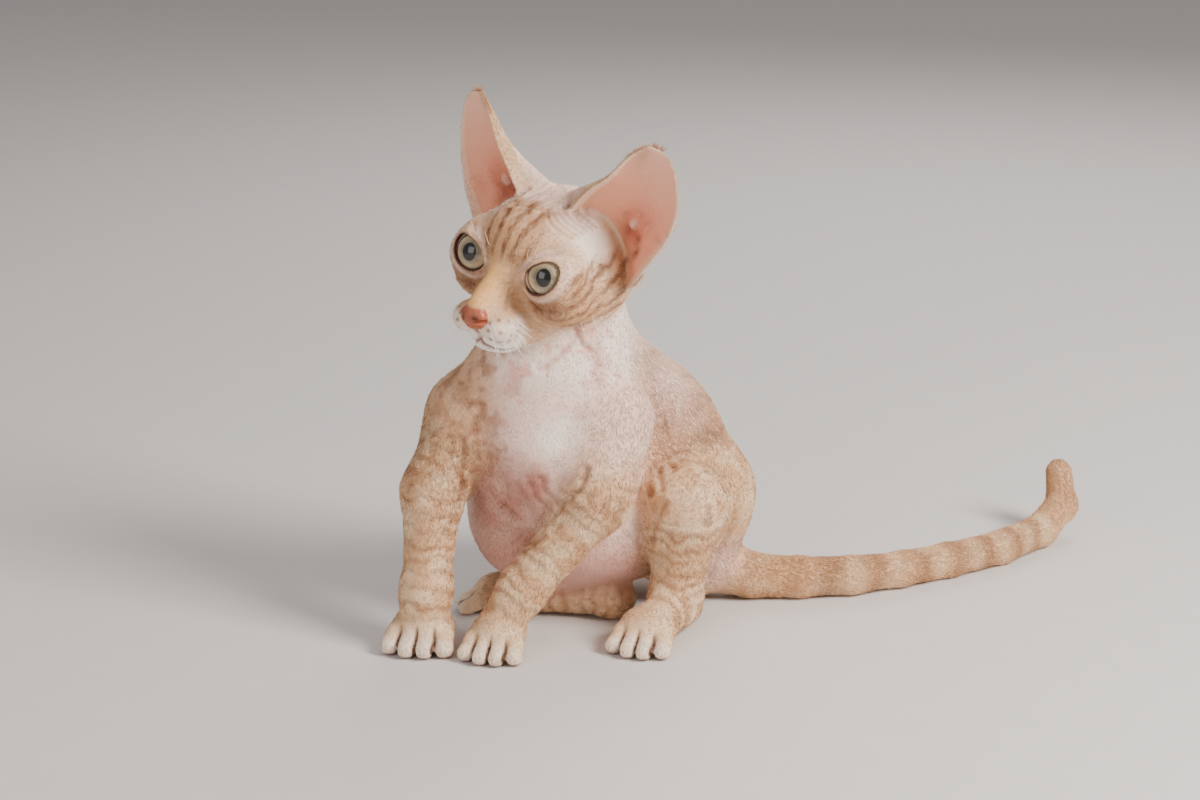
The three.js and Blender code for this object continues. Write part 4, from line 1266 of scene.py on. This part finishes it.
# Eyes
def eye_mesh(side):
    way = np.radians([GAZE_TURN[side], GAZE_RISE])
    look = np.array([np.cos(way[0]) * np.cos(way[1]), np.sin(way[0]) * np.cos(way[1]), np.sin(way[1])])
    forward, left, up = EYE_CENTRE
    place = Frame(HEAD.out([forward, left * side, up]), HEAD.turn(look), HEAD.axes[2])
    rings, around_ = 90, 96
    polar = np.concatenate([np.linspace(0, 60, rings), np.linspace(62, 176, 24)])
    angle = np.arange(around_) / around_ * 2 * np.pi
    polar_grid, angle_grid = np.meshgrid(np.radians(polar), angle, indexing="ij")
    reach = EYE_RADIUS * np.sin(polar_grid)
    bulge = 0.75 * ramp(reach, IRIS_RADIUS + 0.4, 0) * (polar_grid < 1.5)
    size = EYE_RADIUS - 0.05 + bulge
    local = np.stack(
        [
            size * np.cos(polar_grid),
            size * np.sin(polar_grid) * np.cos(angle_grid),
            size * np.sin(polar_grid) * np.sin(angle_grid),
        ],
        -1,
    )
    verts = place.out(local.reshape(-1, 3))
    n = np.arange(verts.shape[0]).reshape(polar_grid.shape)
    ring = np.stack([n[:-1], n[1:], np.roll(n, -1, 1)[1:], np.roll(n, -1, 1)[:-1]], -1).reshape(-1, 4)
    y, z = local[..., 1].ravel(), local[..., 2].ravel()
    out = np.hypot(y, z) / IRIS_RADIUS
    fibre = noise(np.stack([angle_grid.ravel() * 9, out * 1.1, out * 0], -1), 1.0, 41)
    fibre = 0.6 * fibre + 0.4 * noise(np.stack([angle_grid.ravel() * 21, out * 2.5, out * 0], -1), 1.0, 42)
    iris = paint(np.repeat(shade(192, 170, 138)[None], len(y), 0), shade(142, 124, 98), 0.5 + 0.6 * fibre)
    iris = paint(iris, shade(104, 98, 78), ramp(out, 0.76, 0.5) * 0.75)
    iris = paint(iris, shade(214, 192, 156), bell(out - 0.86, 0.11) * (0.55 + 0.4 * fibre))
    iris = paint(iris, shade(74, 62, 42), ramp(out, 0.95, 1.03))
    pupil = np.sqrt((y / PUPIL[0]) ** 2 + (z / PUPIL[1]) ** 2)
    iris = paint(iris, shade(4, 3, 3), ramp(pupil, 1.06, 0.98))
    ball = paint(iris, shade(222, 190, 176), ramp(out, 1.06, 1.16) * (polar_grid.ravel() > 0.3))
    ball = np.where((polar_grid.ravel() > 1.4)[:, None], shade(222, 190, 176)[None], ball)
    return verts, ring, ball


for side, name in ((1, "left"), (-1, "right")):
    eye = new_mesh(f"eyeball_{name}", *eye_mesh(side))
    look = Material(f"eye_{name}", 0.35, Coat_Weight=1.0, Coat_Roughness=0.02, IOR=1.38)
    look.mottled(look.attribute("coat").outputs["Color"], 700.0, 0.88, 1.08)
    eye.data.materials.append(look.made)
    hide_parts(f"eye_{name}")


# Claws: short horn cones, nearly sheathed between the hairs of the toes
def claws():
    paths = []
    for leg in LEGS:
        place, width = paw_frame(leg)
        for root, tip, radius in toes(width):
            start = tip + (radius * 0.55, 0, 0.6)
            paths.append(place.out([start, start + (1.6, 0, -0.4), start + (2.6, 0, -1.5)]))
    return paths, [0.75] * len(paths)


claw = hairs("claws", *claws(), shade(226, 206, 186), 0.3, 8, 6)


# Floor, light and camera
def studio():
    floor = Material("floor", 0.85)
    tone = floor.node("ShaderNodeRGB")
    tone.outputs[0].default_value = (0.70, 0.68, 0.67, 1)
    floor.mottled(tone.outputs[0], 60.0, 0.97, 1.02)
    floor.bump(floor.noise(900.0, 2.0), 0.0002, 0.3)
    plane = bpy.data.meshes.new("floor")
    half = 6.0
    plane.from_pydata([(-half, -half, 0), (half, -half, 0), (half, half, 0), (-half, half, 0)], [], [(0, 1, 2, 3)])
    made = bpy.data.objects.new("floor", plane)
    made.data.materials.append(floor.made)
    bpy.context.scene.collection.objects.link(made)
    world = bpy.data.worlds.new("studio")
    world.use_nodes = True
    world.node_tree.nodes["Background"].inputs["Color"].default_value = (1.0, 0.96, 0.94, 1)
    world.node_tree.nodes["Background"].inputs["Strength"].default_value = 0.32
    bpy.context.scene.world = world
    for name, place, size, power, colour in (
        ("key", (0.80, -0.60, 0.80), 0.5, 26.0, (1.0, 0.94, 0.88)),
        ("fill", (-0.9, -1.0, 0.6), 0.9, 7.0, (1.0, 0.92, 0.88)),
        ("back", (0.3, 1.0, 0.9), 0.8, 7.0, (1.0, 0.95, 0.92)),
    ):
        light = bpy.data.lights.new(name, "AREA")
        light.energy = power
        light.size = size
        light.color = colour
        lamp = bpy.data.objects.new(name, light)
        lamp.location = place
        aim = Vector((0.0, 0.0, 0.11)) - lamp.location
        lamp.rotation_euler = aim.to_track_quat("-Z", "Y").to_euler()
        bpy.context.scene.collection.objects.link(lamp)


studio()
camera = bpy.data.objects.new("camera", bpy.data.cameras.new("camera"))
camera.data.lens = CAMERA_LENS
camera.location = metres(CAMERA_PLACE)
camera.rotation_euler = (np.radians(90 - CAMERA_DIP), 0, 0)
bpy.context.scene.collection.objects.link(camera)
bpy.context.scene.camera = camera
